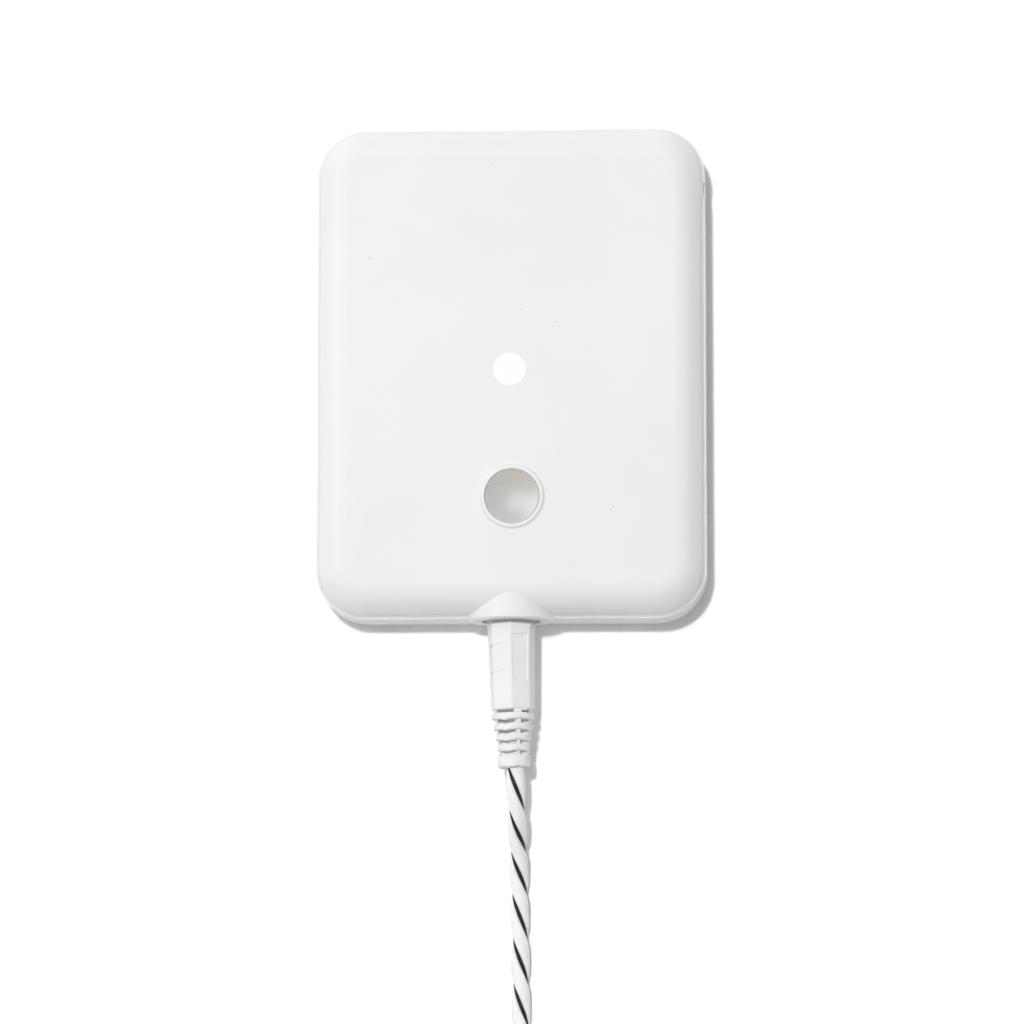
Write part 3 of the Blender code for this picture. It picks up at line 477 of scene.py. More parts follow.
@dataclass(frozen=True)
class MouldedPlastic:
    """An even moulded plastic with a fine spark grain, slight flow marks and handling shine."""

    name: str
    colour: Colour
    shade: Colour
    roughness: float = 0.42
    grain: float = 0.30
    grain_depth: float = 0.010
    flow: float = 14.0

    def material(self) -> bpy.types.Material:
        """Mixes the material.

        Returns:
            The material, with the finish's name.
        """
        recipe = Recipe(self.name)
        place = recipe.place()
        flow = recipe.noise(place, self.flow, 3.0)
        grain = recipe.noise(place, self.grain, 2.0)
        rubbed = recipe.noise(place, self.flow * 0.35, 4.0, 0.6).between(0.45, 0.75)
        colour = recipe.blend(flow.between(0.35, 0.75), self.colour, self.shade)
        return recipe.dress(Base_Color=colour,
                            Roughness=self.roughness + 0.05 * grain - 0.06 * rubbed,
                            Normal=recipe.bump(grain, self.grain_depth, 0.6))


@dataclass(frozen=True)
class HousingPlastic:
    """White satin moulding: fine spark grain, small dark flecks and, on the front, a plain printed disc."""

    name: str
    colour: Colour = (0.855, 0.858, 0.858)
    shade: Colour = (0.835, 0.836, 0.833)
    ink: Colour = (0.97, 0.97, 0.975)
    has_disc: bool = False
    disc_centre: tuple[float, float] = (0.1, -0.1)
    disc_radius: float = 2.95
    flecks: tuple[tuple[float, float, float], ...] = (
        (-25.3, 20.4, 0.16), (2.1, 11.7, 0.10), (8.4, 8.4, 0.10), (18.4, -25.8, 0.13), (-3.0, 37.4, 0.10))

    def material(self) -> bpy.types.Material:
        """Mixes the material.

        Returns:
            The material, with the finish's name.
        """
        recipe = Recipe(self.name)
        place = recipe.place()
        flow = recipe.noise(place, 30.0, 3.0)
        grain = recipe.noise(place, 0.22, 2.0)
        orange_peel = recipe.noise(place, 1.6, 2.0)
        rubbed = recipe.noise(place, 9.0, 4.0, 0.65).between(0.50, 0.80)
        colour = recipe.blend(flow.between(0.35, 0.70), self.colour, self.shade)
        dust = recipe.noise(place, 0.9, 1.0, 0.3).between(0.755, 0.775)
        colour = recipe.blend(0.06 * dust, colour, (0.35, 0.33, 0.30))
        roughness = 0.46 + 0.05 * grain - 0.07 * rubbed
        if self.has_disc:
            across, along, _ = recipe.parts(place)
            for x, y, radius in self.flecks:
                spot = self._spot(across, along, x, y, radius)
                colour = recipe.blend(0.45 * spot, colour, (0.20, 0.19, 0.18))
            disc = self._spot(across, along, *self.disc_centre, self.disc_radius)
            colour = recipe.blend(disc, colour, self.ink)
            roughness = roughness - 0.10 * disc
        normal = recipe.bump(grain, 0.010, 0.5, recipe.bump(orange_peel, 0.010, 0.25))
        return recipe.dress(Base_Color=colour, Roughness=roughness, Normal=normal,
                            Coat_Weight=0.35, Coat_Roughness=0.15)

    @staticmethod
    def _spot(across: Signal, along: Signal, x: float, y: float, radius: float) -> Signal:
        """Returns 1 inside a round spot on the front face and 0 outside, with a narrow edge."""
        away = ((across - x * MILLIMETRE) ** 2.0 + (along - y * MILLIMETRE) ** 2.0) ** 0.5
        return 1.0 - away.between((radius - 0.06) * MILLIMETRE, (radius + 0.06) * MILLIMETRE)


@dataclass(frozen=True)
class PearlPlastic:
    """The button's pearly grey plastic, warmer towards the battery end, with fine cloudy flakes."""

    name: str
    centre_y: float = -23.276
    cool: Colour = (0.735, 0.745, 0.722)
    warm: Colour = (0.755, 0.705, 0.650)
    deep: Colour = (0.640, 0.630, 0.632)
    metallic: float = 0.36

    def material(self) -> bpy.types.Material:
        """Mixes the material.

        Returns:
            The material, with the finish's name.
        """
        recipe = Recipe(self.name)
        place = recipe.place()
        _, along, _ = recipe.parts(place)
        clouds = recipe.noise(recipe.stretched(place, (1.0, 2.0, 1.0)), 3.2, 4.0, 0.6)
        flakes = recipe.node("ShaderNodeTexVoronoi", {}, {"Vector": place, "Scale": 6500.0})
        top = along.between((self.centre_y - 0.5) * MILLIMETRE, (self.centre_y + 4.2) * MILLIMETRE)
        colour = recipe.blend(top * clouds.between(0.3, 0.6), self.cool, self.warm)
        colour = recipe.blend(0.35 * clouds.between(0.52, 0.78), colour, self.deep)
        return recipe.dress(Base_Color=colour, Roughness=0.28 + 0.10 * clouds, Metallic=self.metallic,
                            Normal=recipe.bump(flakes, 0.004, 0.4))


@dataclass(frozen=True)
class PlatedMetal:
    """Plated metal with fine scratches and duller patches."""

    name: str
    colour: Colour
    dull: Colour
    roughness: float = 0.24
    scratch: Point = (1.0, 9.0, 1.0)

    def material(self) -> bpy.types.Material:
        """Mixes the material.

        Returns:
            The material, with the finish's name.
        """
        recipe = Recipe(self.name)
        place = recipe.place()
        scratches = recipe.noise(recipe.stretched(place, self.scratch), 0.6, 5.0, 0.7)
        patches = recipe.noise(place, 2.2, 3.0)
        colour = recipe.blend(patches.between(0.4, 0.7), self.colour, self.dull)
        return recipe.dress(Base_Color=colour, Metallic=1.0,
                            Roughness=self.roughness + 0.16 * patches + 0.10 * scratches,
                            Normal=recipe.bump(scratches, 0.004, 0.5))


@dataclass(frozen=True)
class SolderMask:
    """Green solder mask over copper tracks, with bare tinned pads."""

    name: str
    mask: Colour = (0.020, 0.160, 0.060)
    over_copper: Colour = (0.045, 0.240, 0.090)
    pad: Colour = (0.62, 0.58, 0.46)

    def material(self) -> bpy.types.Material:
        """Mixes the material.

        Returns:
            The material, with the finish's name.
        """
        recipe = Recipe(self.name)
        place = recipe.place()
        rows = recipe.node("ShaderNodeTexBrick", {"offset": 0.5, "squash": 0.7, "squash_frequency": 3},
                           {"Vector": place, "Scale": 260.0, "Mortar Size": 0.06, "Color1": (0, 0, 0),
                            "Color2": (0, 0, 0), "Mortar": (1, 1, 1)})
        holes = recipe.node("ShaderNodeTexVoronoi", {"feature": "F1"}, {"Vector": place, "Scale": 420.0})
        pads = 1.0 - holes.between(0.10, 0.14)
        weave = recipe.noise(place, 0.5, 2.0)
        colour = recipe.blend(rows, self.mask, self.over_copper)
        colour = recipe.blend(pads, colour, self.pad)
        height = rows + 0.3 * weave
        return recipe.dress(Base_Color=colour, Roughness=0.34 - 0.08 * pads + 0.06 * weave,
                            Metallic=0.7 * pads, Normal=recipe.bump(height, 0.03, 0.5))


@dataclass(frozen=True)
class CellWrap:
    """A cell's shrink sleeve: a dark band at its contact end, a lighter body and fine sleeve wrinkles."""

    name: str
    body: Colour = (0.085, 0.200, 0.370)
    band: Colour = (0.040, 0.050, 0.070)
    band_from: float = 12.0

    def material(self) -> bpy.types.Material:
        """Mixes the material.

        Returns:
            The material, with the finish's name.
        """
        recipe = Recipe(self.name)
        place = recipe.place()
        across, _, _ = recipe.parts(place)
        wrinkles = recipe.noise(recipe.stretched(place, (0.25, 1.0, 1.0)), 1.0, 4.0, 0.6)
        band = across.between(self.band_from * MILLIMETRE, (self.band_from + 0.2) * MILLIMETRE)
        worn = recipe.noise(place, 2.5, 4.0, 0.7).between(0.60, 0.72)
        colour = recipe.blend(band, self.body, self.band)
        colour = recipe.blend(0.35 * worn, colour, (0.45, 0.47, 0.50))
        return recipe.dress(Base_Color=colour, Metallic=0.35, Roughness=0.26 + 0.12 * worn + 0.05 * wrinkles,
                            Normal=recipe.bump(wrinkles, 0.03, 0.5), Coat_Weight=0.4)


@dataclass(frozen=True)
class ClearLens:
    """The status light's lens: milky clear plastic with a warmer core."""

    name: str

    def material(self) -> bpy.types.Material:
        """Mixes the material.

        Returns:
            The material, with the finish's name.
        """
        recipe = Recipe(self.name)
        place = recipe.place()
        haze = recipe.noise(place, 0.8, 3.0)
        colour = recipe.blend(haze.between(0.4, 0.7), (0.86, 0.85, 0.76), (0.78, 0.80, 0.72))
        return recipe.dress(Base_Color=colour, Roughness=0.12 + 0.08 * haze, Transmission_Weight=0.45,
                            IOR=1.5, Normal=recipe.bump(haze, 0.004, 0.4))


@dataclass(frozen=True)
class SoftSheath:
    """A flexible sheath, as on leads and on the rope's strands, with faint extrusion lines along it."""

    name: str
    colour: Colour
    shade: Colour
    roughness: float = 0.48
    lines: int = 9
    has_map: bool = False

    def material(self) -> bpy.types.Material:
        """Mixes the material.

        Returns:
            The material, with the finish's name.
        """
        recipe = Recipe(self.name)
        place = recipe.place()
        marks = recipe.noise(place, 1.4, 4.0, 0.6)
        fine = recipe.noise(place, 0.20, 2.0)
        height = fine
        if self.has_map:
            around, _, _ = recipe.parts(recipe.node("ShaderNodeUVMap", {"uv_map": "lay"}))
            height = fine + 0.7 * (around * (2 * math.pi * self.lines)).wave()
        colour = recipe.blend(marks.between(0.40, 0.72), self.colour, self.shade)
        return recipe.dress(Base_Color=colour, Roughness=self.roughness + 0.08 * marks,
                            Normal=recipe.bump(height, 0.010, 0.6))


@dataclass(frozen=True)
class LoopStrap:
    """Hook-and-loop strap: a napped weave in rows, greyer where it has rubbed."""

    name: str
    colour: Colour = (0.030, 0.030, 0.032)
    rubbed: Colour = (0.085, 0.083, 0.082)

    def material(self) -> bpy.types.Material:
        """Mixes the material.

        Returns:
            The material, with the finish's name.
        """
        recipe = Recipe(self.name)
        place = recipe.place()
        across, along, up = recipe.parts(place)
        rows = (along * (2 * math.pi / (0.45 * MILLIMETRE))).wave()
        ribs = ((across + up) * (2 * math.pi / (0.40 * MILLIMETRE))).wave()
        nap = recipe.noise(place, 0.18, 3.0, 0.7)
        wear = recipe.noise(place, 2.0, 4.0, 0.7).between(0.45, 0.70)
        colour = recipe.blend(wear * nap, self.colour, self.rubbed)
        return recipe.dress(Base_Color=colour, Roughness=0.80 + 0.12 * nap,
                            Normal=recipe.bump(0.3 * rows * ribs + nap, 0.09, 0.8))


@dataclass
class Housing:
    """The two covers. The front one has the rolled edges, the button's lip and half of the socket boss."""

    half_width: float = 34.75
    low_y: float = -44.076
    high_y: float = 44.426
    front: float = 16.8
    front_rim: float = 10.62
    rear_rim: float = 10.6
    foot_steps: tuple[tuple[float, float], ...] = ((0.40, 0.08), (0.35, 0.11), (0.28, 0.18))
    ledge: float = 0.70
    rim_round: float = 0.14
    corner: float = 8.45
    corner_steps: int = 20
    roll: float = 5.15
    roll_steps: int = 18
    wall: float = 1.75
    thickness: float = 2.0
    back_round: float = 1.0
    boss_radius: float = 8.16
    boss_height: float = 8.4
    boss_end: float = -45.126
    boss_inner: float = -39.60
    boss_round: float = 0.45
    recess_radius: float = 5.35
    recess_step: float = 0.6
    button_centre: tuple[float, float] = (0.55, -23.276)
    hole_radius: float = 4.94
    lip_steps: tuple[tuple[float, float], ...] = (
        (6.02, 16.800), (5.90, 16.840), (5.80, 16.930), (5.71, 17.040), (5.61, 17.140), (5.50, 17.210),
        (5.38, 17.250))
    lip_sunk: float = 1.0
    lip_gap: float = 0.002
    lip_inner_round: float = 0.24
    post_radius: float = 3.0
    head_bore: float = 2.3
    shank_bore: float = 1.3
    slot_from_top: float = 10.75
    slot_half: float = 1.2
    slot_depth: float = 0.7
    seam_slack: float = 0.02
    curve_slack: float = 0.03
    screw_places: tuple[tuple[float, float], ...] = ()
    front_finish: HousingPlastic = field(default_factory=lambda: HousingPlastic("front_white", has_disc=True))
    rear_finish: HousingPlastic = field(default_factory=lambda: HousingPlastic("rear_white"))

    def __post_init__(self) -> None:
        """Reads the screws' places from the frame."""
        if not self.screw_places:
            boxes = [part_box(f"cover_screw_{n}") for n in range(1, 5)]
            self.screw_places = tuple(
                tuple((low[axis] + high[axis]) / 2 / MILLIMETRE for axis in (0, 1)) for low, high in boxes)

    def build(self) -> list[Piece]:
        """Builds and dresses both covers.

        Returns:
            The front shell and the rear shell.
        """
        return [self.front_shell(), self.rear_shell()]

    def front_shell(self) -> Piece:
        """Models the front cover.

        Returns:
            The cover, with its lip and its half of the boss.
        """
        foot_top = self.front_rim + sum(drop for drop, _ in self.foot_steps)
        shell = start_block("front_shell", (-self.half_width, self.low_y, foot_top),
                            (self.half_width, self.high_y, self.front))
        ceiling = self.front - self.thickness
        with Shaping(shell) as shaping:
            shaping.edges_along(Axis.Z)
            shaping.bevel(self.corner, self.corner_steps)
            shaping.edges(lambda a, b: min(a.z, b.z) > self.front - TOUCH)
            shaping.bevel(self.roll, self.roll_steps)
            shaping.faces(lambda centre, normal: normal.z < -0.9)
            for drop, spread in self.foot_steps:
                foot_top -= drop
                shaping.extrude((0.0, 0.0, -drop), 1.0 + spread / self.half_width,
                                (0.0, (self.low_y + self.high_y) / 2, foot_top))
            shaping.inset(self.wall + sum(spread for _, spread in self.foot_steps))
            shaping.extrude((0.0, 0.0, ceiling - self.front_rim))
            shaping.edges(lambda a, b: max(abs(a.z - ceiling), abs(b.z - ceiling)) < TOUCH)
            shaping.bevel(self.roll - self.thickness, 5)
        work(shell, self.boss("front_boss", self.front_rim, True), Fit.JOIN)
        work(shell, self.lip(), Fit.JOIN)
        hole = start_round("button_hole", self.hole_radius, (*self.button_centre, ceiling - 1.0), 4.0,
                           sides=96)
        work(shell, hole, Fit.CUT)
        work(shell, self.recess("front_recess"), Fit.CUT)
        with Shaping(shell) as shaping:
            shaping.edges(lambda a, b: self.is_hole_rim(a) and self.is_hole_rim(b))
            shaping.bevel(self.lip_inner_round, 3)
            shaping.edges(lambda a, b: self.is_boss_seam(a) and self.is_boss_seam(b))
            bpy.ops.mesh.mark_sharp()
        return finished(shell, self.front_finish.material(), "housing_white", "housing", "front_cover")

    def is_hole_rim(self, point: Vector) -> bool:
        """Says whether a point is on the upper rim of the button's hole.

        Args:
            point: The point.

        Returns:
            Whether it is on that rim.
        """
        x, y = self.button_centre
        off_rim = abs(math.hypot(point.x - x, point.y - y) - self.hole_radius)
        return off_rim < self.curve_slack and point.z > self.front

    def is_boss_seam(self, point: Vector) -> bool:
        """Says whether a point is where the boss meets the rolled edge or the wall below it.

        Args:
            point: The point.

        Returns:
            Whether it is on that seam.
        """
        off_boss = abs(math.hypot(point.x, point.z - self.boss_height) - self.boss_radius)
        roll_low = self.front - self.roll
        off_roll = abs(math.hypot(point.y - self.low_y - self.roll, point.z - roll_low) - self.roll)
        on_wall = abs(point.y - self.low_y) < self.seam_slack and point.z < roll_low + self.seam_slack
        return off_boss < self.seam_slack and (off_roll < self.curve_slack or on_wall)

    def rear_shell(self) -> Piece:
        """Models the rear cover: a tray with screw posts, half of the boss and the pry slot.

        Returns:
            The cover.
        """
        half = self.half_width + self.ledge
        shell = start_block("rear_shell", (-half, self.low_y - self.ledge, 0.0),
                            (half, self.high_y + self.ledge, self.rear_rim))
        with Shaping(shell) as shaping:
            shaping.edges_along(Axis.Z)
            shaping.bevel(self.corner + self.ledge, self.corner_steps)
            shaping.edges(lambda a, b: max(a.z, b.z) < TOUCH)
            shaping.bevel(self.back_round, 5)
            shaping.edges(lambda a, b: min(a.z, b.z) > self.rear_rim - TOUCH)
            shaping.bevel(self.rim_round, 3)
            shaping.faces(lambda centre, normal: normal.z > 0.9)
            shaping.inset(self.wall + self.ledge - self.rim_round)
            shaping.extrude((0.0, 0.0, self.thickness - self.rear_rim))
        work(shell, self.boss("rear_boss", self.rear_rim, False), Fit.JOIN)
        work(shell, self.recess("rear_recess"), Fit.CUT)
        for x, y in self.screw_places:
            for name, radius, low, reach, sides, fit in (
                    ("post", self.post_radius, 1.0, 5.0, 40, Fit.JOIN),
                    ("head_bore", self.head_bore, -1.0, 4.0, 40, Fit.CUT),
                    ("shank_bore", self.shank_bore, -1.0, 8.0, 24, Fit.CUT)):
                work(shell, start_round(name, radius, (x, y, low), reach, sides=sides), fit)
        slot_y = self.high_y - self.slot_from_top
        slot = start_block(
            "pry_slot", (half - self.slot_depth, slot_y - self.slot_half, self.rear_rim - self.slot_half),
            (half + self.slot_depth, slot_y + self.slot_half, self.rear_rim + self.slot_half))
        work(shell, slot, Fit.CUT)
        return finished(shell, self.rear_finish.material(), "housing_white", "housing", "rear_cover")

    def boss(self, name: str, rim: float, is_front: bool) -> Piece:
        """Models one half of the socket boss, cut at a cover's rim.

        Args:
            name: The piece's name.
            rim: The height of the rim.
            is_front: Whether the upper part is kept.

        Returns:
            The half boss.
        """
        boss = start_round(name, self.boss_radius, (0.0, self.boss_inner, self.boss_height),
                           self.boss_end - self.boss_inner, Axis.Y, 128)
        with Shaping(boss) as shaping:
            shaping.edges(lambda a, b: max(a.y, b.y) < self.boss_end + TOUCH)
            shaping.bevel(self.boss_round, 5)
            bpy.ops.mesh.select_all(action="SELECT")
            bpy.ops.mesh.bisect(plane_co=(0.0, 0.0, rim), plane_no=(0.0, 0.0, 1.0), use_fill=True,
                                clear_inner=is_front, clear_outer=not is_front)
        return boss

    def recess(self, name: str) -> Piece:
        """Models the cutter of the plug's round recess.

        Args:
            name: The cutter's name.

        Returns:
            The cutter.
        """
        start = self.boss_inner + self.recess_step
        return start_round(name, self.recess_radius, (0.0, start, self.boss_height),
                           self.boss_end - 1.0 - start, Axis.Y, 96)

    def lip(self) -> Piece:
        """Models the raised lip round the button, with a flared foot.

        Returns:
            The lip.
        """
        radius, height = self.lip_steps[0]
        lip = start_round("button_lip", radius, (*self.button_centre, height - self.lip_sunk),
                          self.lip_sunk - self.lip_gap, sides=96)
        with Shaping(lip) as shaping:
            shaping.faces(lambda centre, normal: normal.z > 0.9)
            height -= self.lip_gap
            for next_radius, next_height in self.lip_steps[1:]:
                shaping.inset(radius - next_radius, next_height - height)
                radius, height = next_radius, next_height
        return lip


@dataclass
class PressButton:
    """The dished cap, which rides on the button's body over the switch."""

    centre: tuple[float, float] = (0.55, -23.276)
    rim: float = 16.95
    radius: float = 4.90
    flange_radius: float = 6.05
    flange_low: float = 13.6
    flange_high: float = 14.5
    edge: float = 0.05
    dish_radius: float = 4.80
    dish_depth: float = 0.95
    dish_rings: int = 14
    pocket_radius: float = 3.65
    pocket_top: float = 15.15
    stem_radius: float = 1.8
    stem_low: float = 13.0
    finish: PearlPlastic = PearlPlastic("button_pearl")

    def build(self) -> list[Piece]:
        """Builds and dresses the cap.

        Returns:
            The cap.
        """
        cap = start_round("button_dish", self.flange_radius, (*self.centre, self.flange_low),
                          self.flange_high - self.flange_low, sides=96)
        with Shaping(cap) as shaping:
            shaping.faces(lambda centre, normal: normal.z > 0.9)
            shaping.inset(self.flange_radius - self.radius)
            shaping.extrude((0.0, 0.0, self.rim - self.flange_high))
            shaping.edges(lambda a, b: min(a.z, b.z) > self.rim - TOUCH)
            shaping.bevel(self.edge, 2)
            shaping.faces(lambda centre, normal: normal.z > 0.99 and centre.z > self.rim - TOUCH)
            shaping.inset(self.radius - self.edge - self.dish_radius)
            for ring in range(self.dish_rings - 1):
                now, after = 1 - ring / self.dish_rings, 1 - (ring + 1) / self.dish_rings
                shaping.inset(self.dish_radius * (now - after), -self.dish_depth * (now ** 2 - after ** 2))
            shaping.faces(lambda centre, normal: normal.z < -0.9 and centre.z < self.flange_low + TOUCH)
            shaping.inset(self.flange_radius - self.pocket_radius)
            shaping.extrude((0.0, 0.0, self.pocket_top - self.flange_low))
            shaping.inset(self.pocket_radius - self.stem_radius)
            shaping.extrude((0.0, 0.0, self.stem_low - self.pocket_top))
        return [finished(cap, self.finish.material(), "button_pearl", "button", "button_cap", weighted=False)]


@dataclass(frozen=True)
class Window:
    """One long window of the strain relief, which is cut again on the opposite side.

    Seen from the side that its degrees give, it lies its half width to both sides of a line aside of the
    middle, reaches in to its floor, and is turned a little.
    """

    name: str
    degrees: float
    half_width: float
    floor: float
    aside: float = 0.0
    turn: float = 0.0


@dataclass
class RopePlug:
    """The moulded jack plug: an eight-sided tapered grip and a windowed strain relief."""

    face_y: float = -41.226
    mouth_y: float = -45.126
    waist_y: float = -61.126
    end_y: float = -71.526
    height: float = 8.4
    mouth_radius: float = 4.37
    waist_radius: float = 4.00
    sides: int = 8
    edge: float = 0.30
    corner_round: float = 0.22
    shoulder: float = 38.0
    lean: float = 0.48
    rings: int = 4
    ring_width: float = 1.22
    ring_gap: float = 0.66
    first_radius: float = 4.05
    last_radius: float = 3.08
    collar: float = 2.22
    wave: float = 0.20
    ring_corner_round: float = 0.75
    ring_edge_round: float = 0.32
    web_share: float = 0.90
    web_taper: float = 0.68
    web_overlap: float = 0.4
    web_in_collar: float = 1.0
    windows: tuple[Window, ...] = (Window("right", 90.0, 0.66, 0.6, 2.42, -4.6),
                                   Window("left", 116.0, 1.80, 1.25))
    pad_shares: tuple[float, ...] = (0.15, 0.68)
    pad_border: float = 0.06
    pad_slope: float = 0.12
    pad_depth: float = 0.22
    groove_shares: tuple[float, ...] = (0.25, 0.56)
    groove_tilt: float = 9.0
    groove_start: float = 1.05
    groove_half: float = 0.15
    groove_core: float = 0.95
    outside: float = 6.0
    finish: MouldedPlastic = MouldedPlastic("plug_white", (0.872, 0.875, 0.876), (0.842, 0.843, 0.843),
                                            0.46, 0.35, 0.014)

    def build(self) -> list[Piece]:
        """Builds and dresses the plug.

        Returns:
            The plug's moulding.
        """
        plug = self.grip()
        work(plug, self.relief(), Fit.JOIN)
        self.lean_over(plug)
        return [finished(plug, self.finish.material(), "plug_white", "housing", "plug_moulding", sharp=38.0)]

    def radius_at(self, y: float) -> float:
        """Returns the grip's radius over its corners at a place along it."""
        share = max(0.0, (self.mouth_y - y) / (self.mouth_y - self.waist_y))
        return self.mouth_radius + (self.waist_radius - self.mouth_radius) * share

    def grip(self) -> Piece:
        """Models the grip with its shallow finger pads and slanting grooves.

        Returns:
            The grip.
        """
        length = self.mouth_y - self.waist_y
        stations = [self.mouth_y, *(self.mouth_y - share * length for share in self.pad_shares), self.waist_y]
        grip = start_round("jack_plug", self.mouth_radius, (0.0, self.face_y, self.height),
                           self.mouth_y - self.face_y, Axis.Y, self.sides)
        turn = math.radians(self.shoulder)
        with Shaping(grip) as shaping:
            shaping.edges(lambda a, b: abs(a.y - b.y) > LONG_EDGE
                          and abs(abs(a.x) - abs(a.z - self.height)) < TOUCH)
            bpy.ops.transform.resize(value=(math.cos(turn) * 2 ** 0.5, 1.0, math.sin(turn) * 2 ** 0.5),
                                     center_override=(0.0, 0.0, self.height))
            shaping.edges_along(Axis.Y)
            shaping.bevel(self.corner_round, 3)
            shaping.faces(lambda centre, normal: normal.y < -0.9)
            for here, after in zip(stations, stations[1:]):
                shaping.extrude((0.0, after - here, 0.0), self.radius_at(after) / self.radius_at(here),
                                (0.0, after, self.height))
            shaping.edges(lambda a, b: max(a.y, b.y) < self.waist_y + TOUCH
                          or min(a.y, b.y) > self.face_y - TOUCH)
            shaping.bevel(self.edge, 3)
            near, far = (self.mouth_y - share * length for share in self.pad_shares)
            for degrees in (45.0 + self.shoulder / 2, 225.0 + self.shoulder / 2):
                facing = Vector((math.cos(math.radians(degrees)), 0.0, math.sin(math.radians(degrees))))
                shaping.faces(lambda centre, normal: normal.dot(facing) > 0.998 and far < centre.y < near)
                shaping.inset(self.pad_border)
                shaping.inset(self.pad_slope, -self.pad_depth)
        for share in self.groove_shares:
            for side in (-1, 1):
                work(grip, self.groove(grip, self.mouth_y - share * length, side), Fit.CUT)
        return grip

    def groove(self, grip: Piece, y: float, side: int) -> Piece:
        """Models the cutter of one slanting groove, as deep as a thin skin of the grip.

        Args:
            grip: The grip that it is cut into.
            y: Its place along the grip.
            side: -1 for the upper left side, 1 for the lower right one.

        Returns:
            The cutter.
        """
        core = copied(grip, "groove_core", (0.0, 0.0, (1 - self.groove_core) * self.height),
                      (self.groove_core, 1.0, self.groove_core))
        near, far = sorted((side * self.groove_start, side * self.outside))
        low, high = sorted((self.height, self.height - side * self.outside))
        cutter = start_block("groove_cutter", (near, y - self.groove_half, low),
                             (far, y + self.groove_half, high))
        settle(cutter, turned_about(Vector((0.0, y, 0.0)), math.radians(self.groove_tilt)))
        work(cutter, core, Fit.CUT)
        return cutter

    def relief(self) -> Piece:
        """Models the strain relief: a windowed neck, four soft rings and a collar.

        Returns:
            The strain relief.
        """
        neck = start_round("plug_relief", self.web_share * self.first_radius,
                           (0.0, self.waist_y + self.web_overlap, self.height), -self.web_overlap,
                           Axis.Y, self.sides)
        neck_end = self.end_y + self.web_in_collar
        with Shaping(neck) as shaping:
            shaping.faces(lambda centre, normal: normal.y < -0.9)
            shaping.extrude((0.0, neck_end - self.waist_y, 0.0), self.web_taper, (0.0, neck_end, self.height))
        for window in self.windows:
            for side in (0, 180):
                work(neck, self.window_cutter(window, side), Fit.CUT)
        place = self.waist_y
        ring = self.ring("relief_ring", self.first_radius, self.ring_width)
        for index in range(self.rings):
            place -= self.ring_gap
            share = 1 - index * (1 - self.last_radius / self.first_radius) / (self.rings - 1)
            lift = self.height * (1 - share)
            work(neck, copied(ring, f"ring_{index + 1}", (0.0, place, lift), (share, 1.0, share)), Fit.JOIN)
            place -= self.ring_width
        bpy.data.objects.remove(ring, do_unlink=True)
        collar = self.ring("relief_collar", self.last_radius, self.collar)
        work(neck, copied(collar, "collar", (0.0, place - self.ring_gap, 0.0)), Fit.JOIN)
        bpy.data.objects.remove(collar, do_unlink=True)
        return neck

    def window_cutter(self, window: Window, side: int) -> Piece:
        """Models the cutter of one long window in the neck.

        Args:
            window: The window.
            side: 0 degrees for its own side, 180 for the one opposite.

        Returns:
            The cutter.
        """
        cutter = start_block(f"window_{window.name}_{side}",
                             (window.aside - window.half_width, self.end_y + 0.6, window.floor),
                             (window.aside + window.half_width, self.waist_y - 0.06, self.outside))
        settle(cutter, Matrix.Translation((0.0, self.waist_y, self.height))
               @ Matrix.Rotation(math.radians(90.0 - window.degrees - side), 4, "Y")
               @ Matrix.Rotation(math.radians(window.turn), 4, "Z")
               @ Matrix.Translation((0.0, -self.waist_y, 0.0)))
        return cutter

    def ring(self, name: str, radius: float, width: float) -> Piece:
        """Models one soft ring with a slight wave, which starts at the origin.

        Args:
            name: The ring's name.
            radius: Its radius over the corners.
            width: How far it runs towards the rope.

        Returns:
            The ring.
        """
        middle = Vector((0.0, 0.0, self.height))
        ring = start_round(name, radius, middle, -width, Axis.Y, self.sides)
        with Shaping(ring) as shaping:
            shaping.edges(lambda a, b: abs(a.y - b.y) > width / 2)
            shaping.bevel(self.ring_corner_round, 4)
            shaping.edges(lambda a, b: abs(a.y - b.y) < TOUCH)
            shaping.bevel(self.ring_edge_round, 3)
            for number in range(self.sides // 2):
                angle = math.radians((number + 0.5) * 360.0 / self.sides)
                across = Vector((-math.sin(angle), 0.0, math.cos(angle)))
                bpy.ops.mesh.select_all(action="SELECT")
                bpy.ops.mesh.bisect(plane_co=middle, plane_no=across)
                shaping.edges(lambda a, b: all(
                    abs((p - middle).dot(across)) < TOUCH and math.hypot(p.x, p.z - self.height) > radius / 2
                    for p in (a, b)))
                bpy.ops.transform.translate(value=(0.0, self.wave if number % 2 else -self.wave, 0.0))
        return ring

    def lean_over(self, piece: Piece) -> None:
        """Turns the plug a little about its mouth, as it sits in its socket."""
        angle = math.atan(self.lean / (self.mouth_y - self.end_y))
        settle(piece, turned_about(Vector((0.0, self.mouth_y, self.height)), angle))


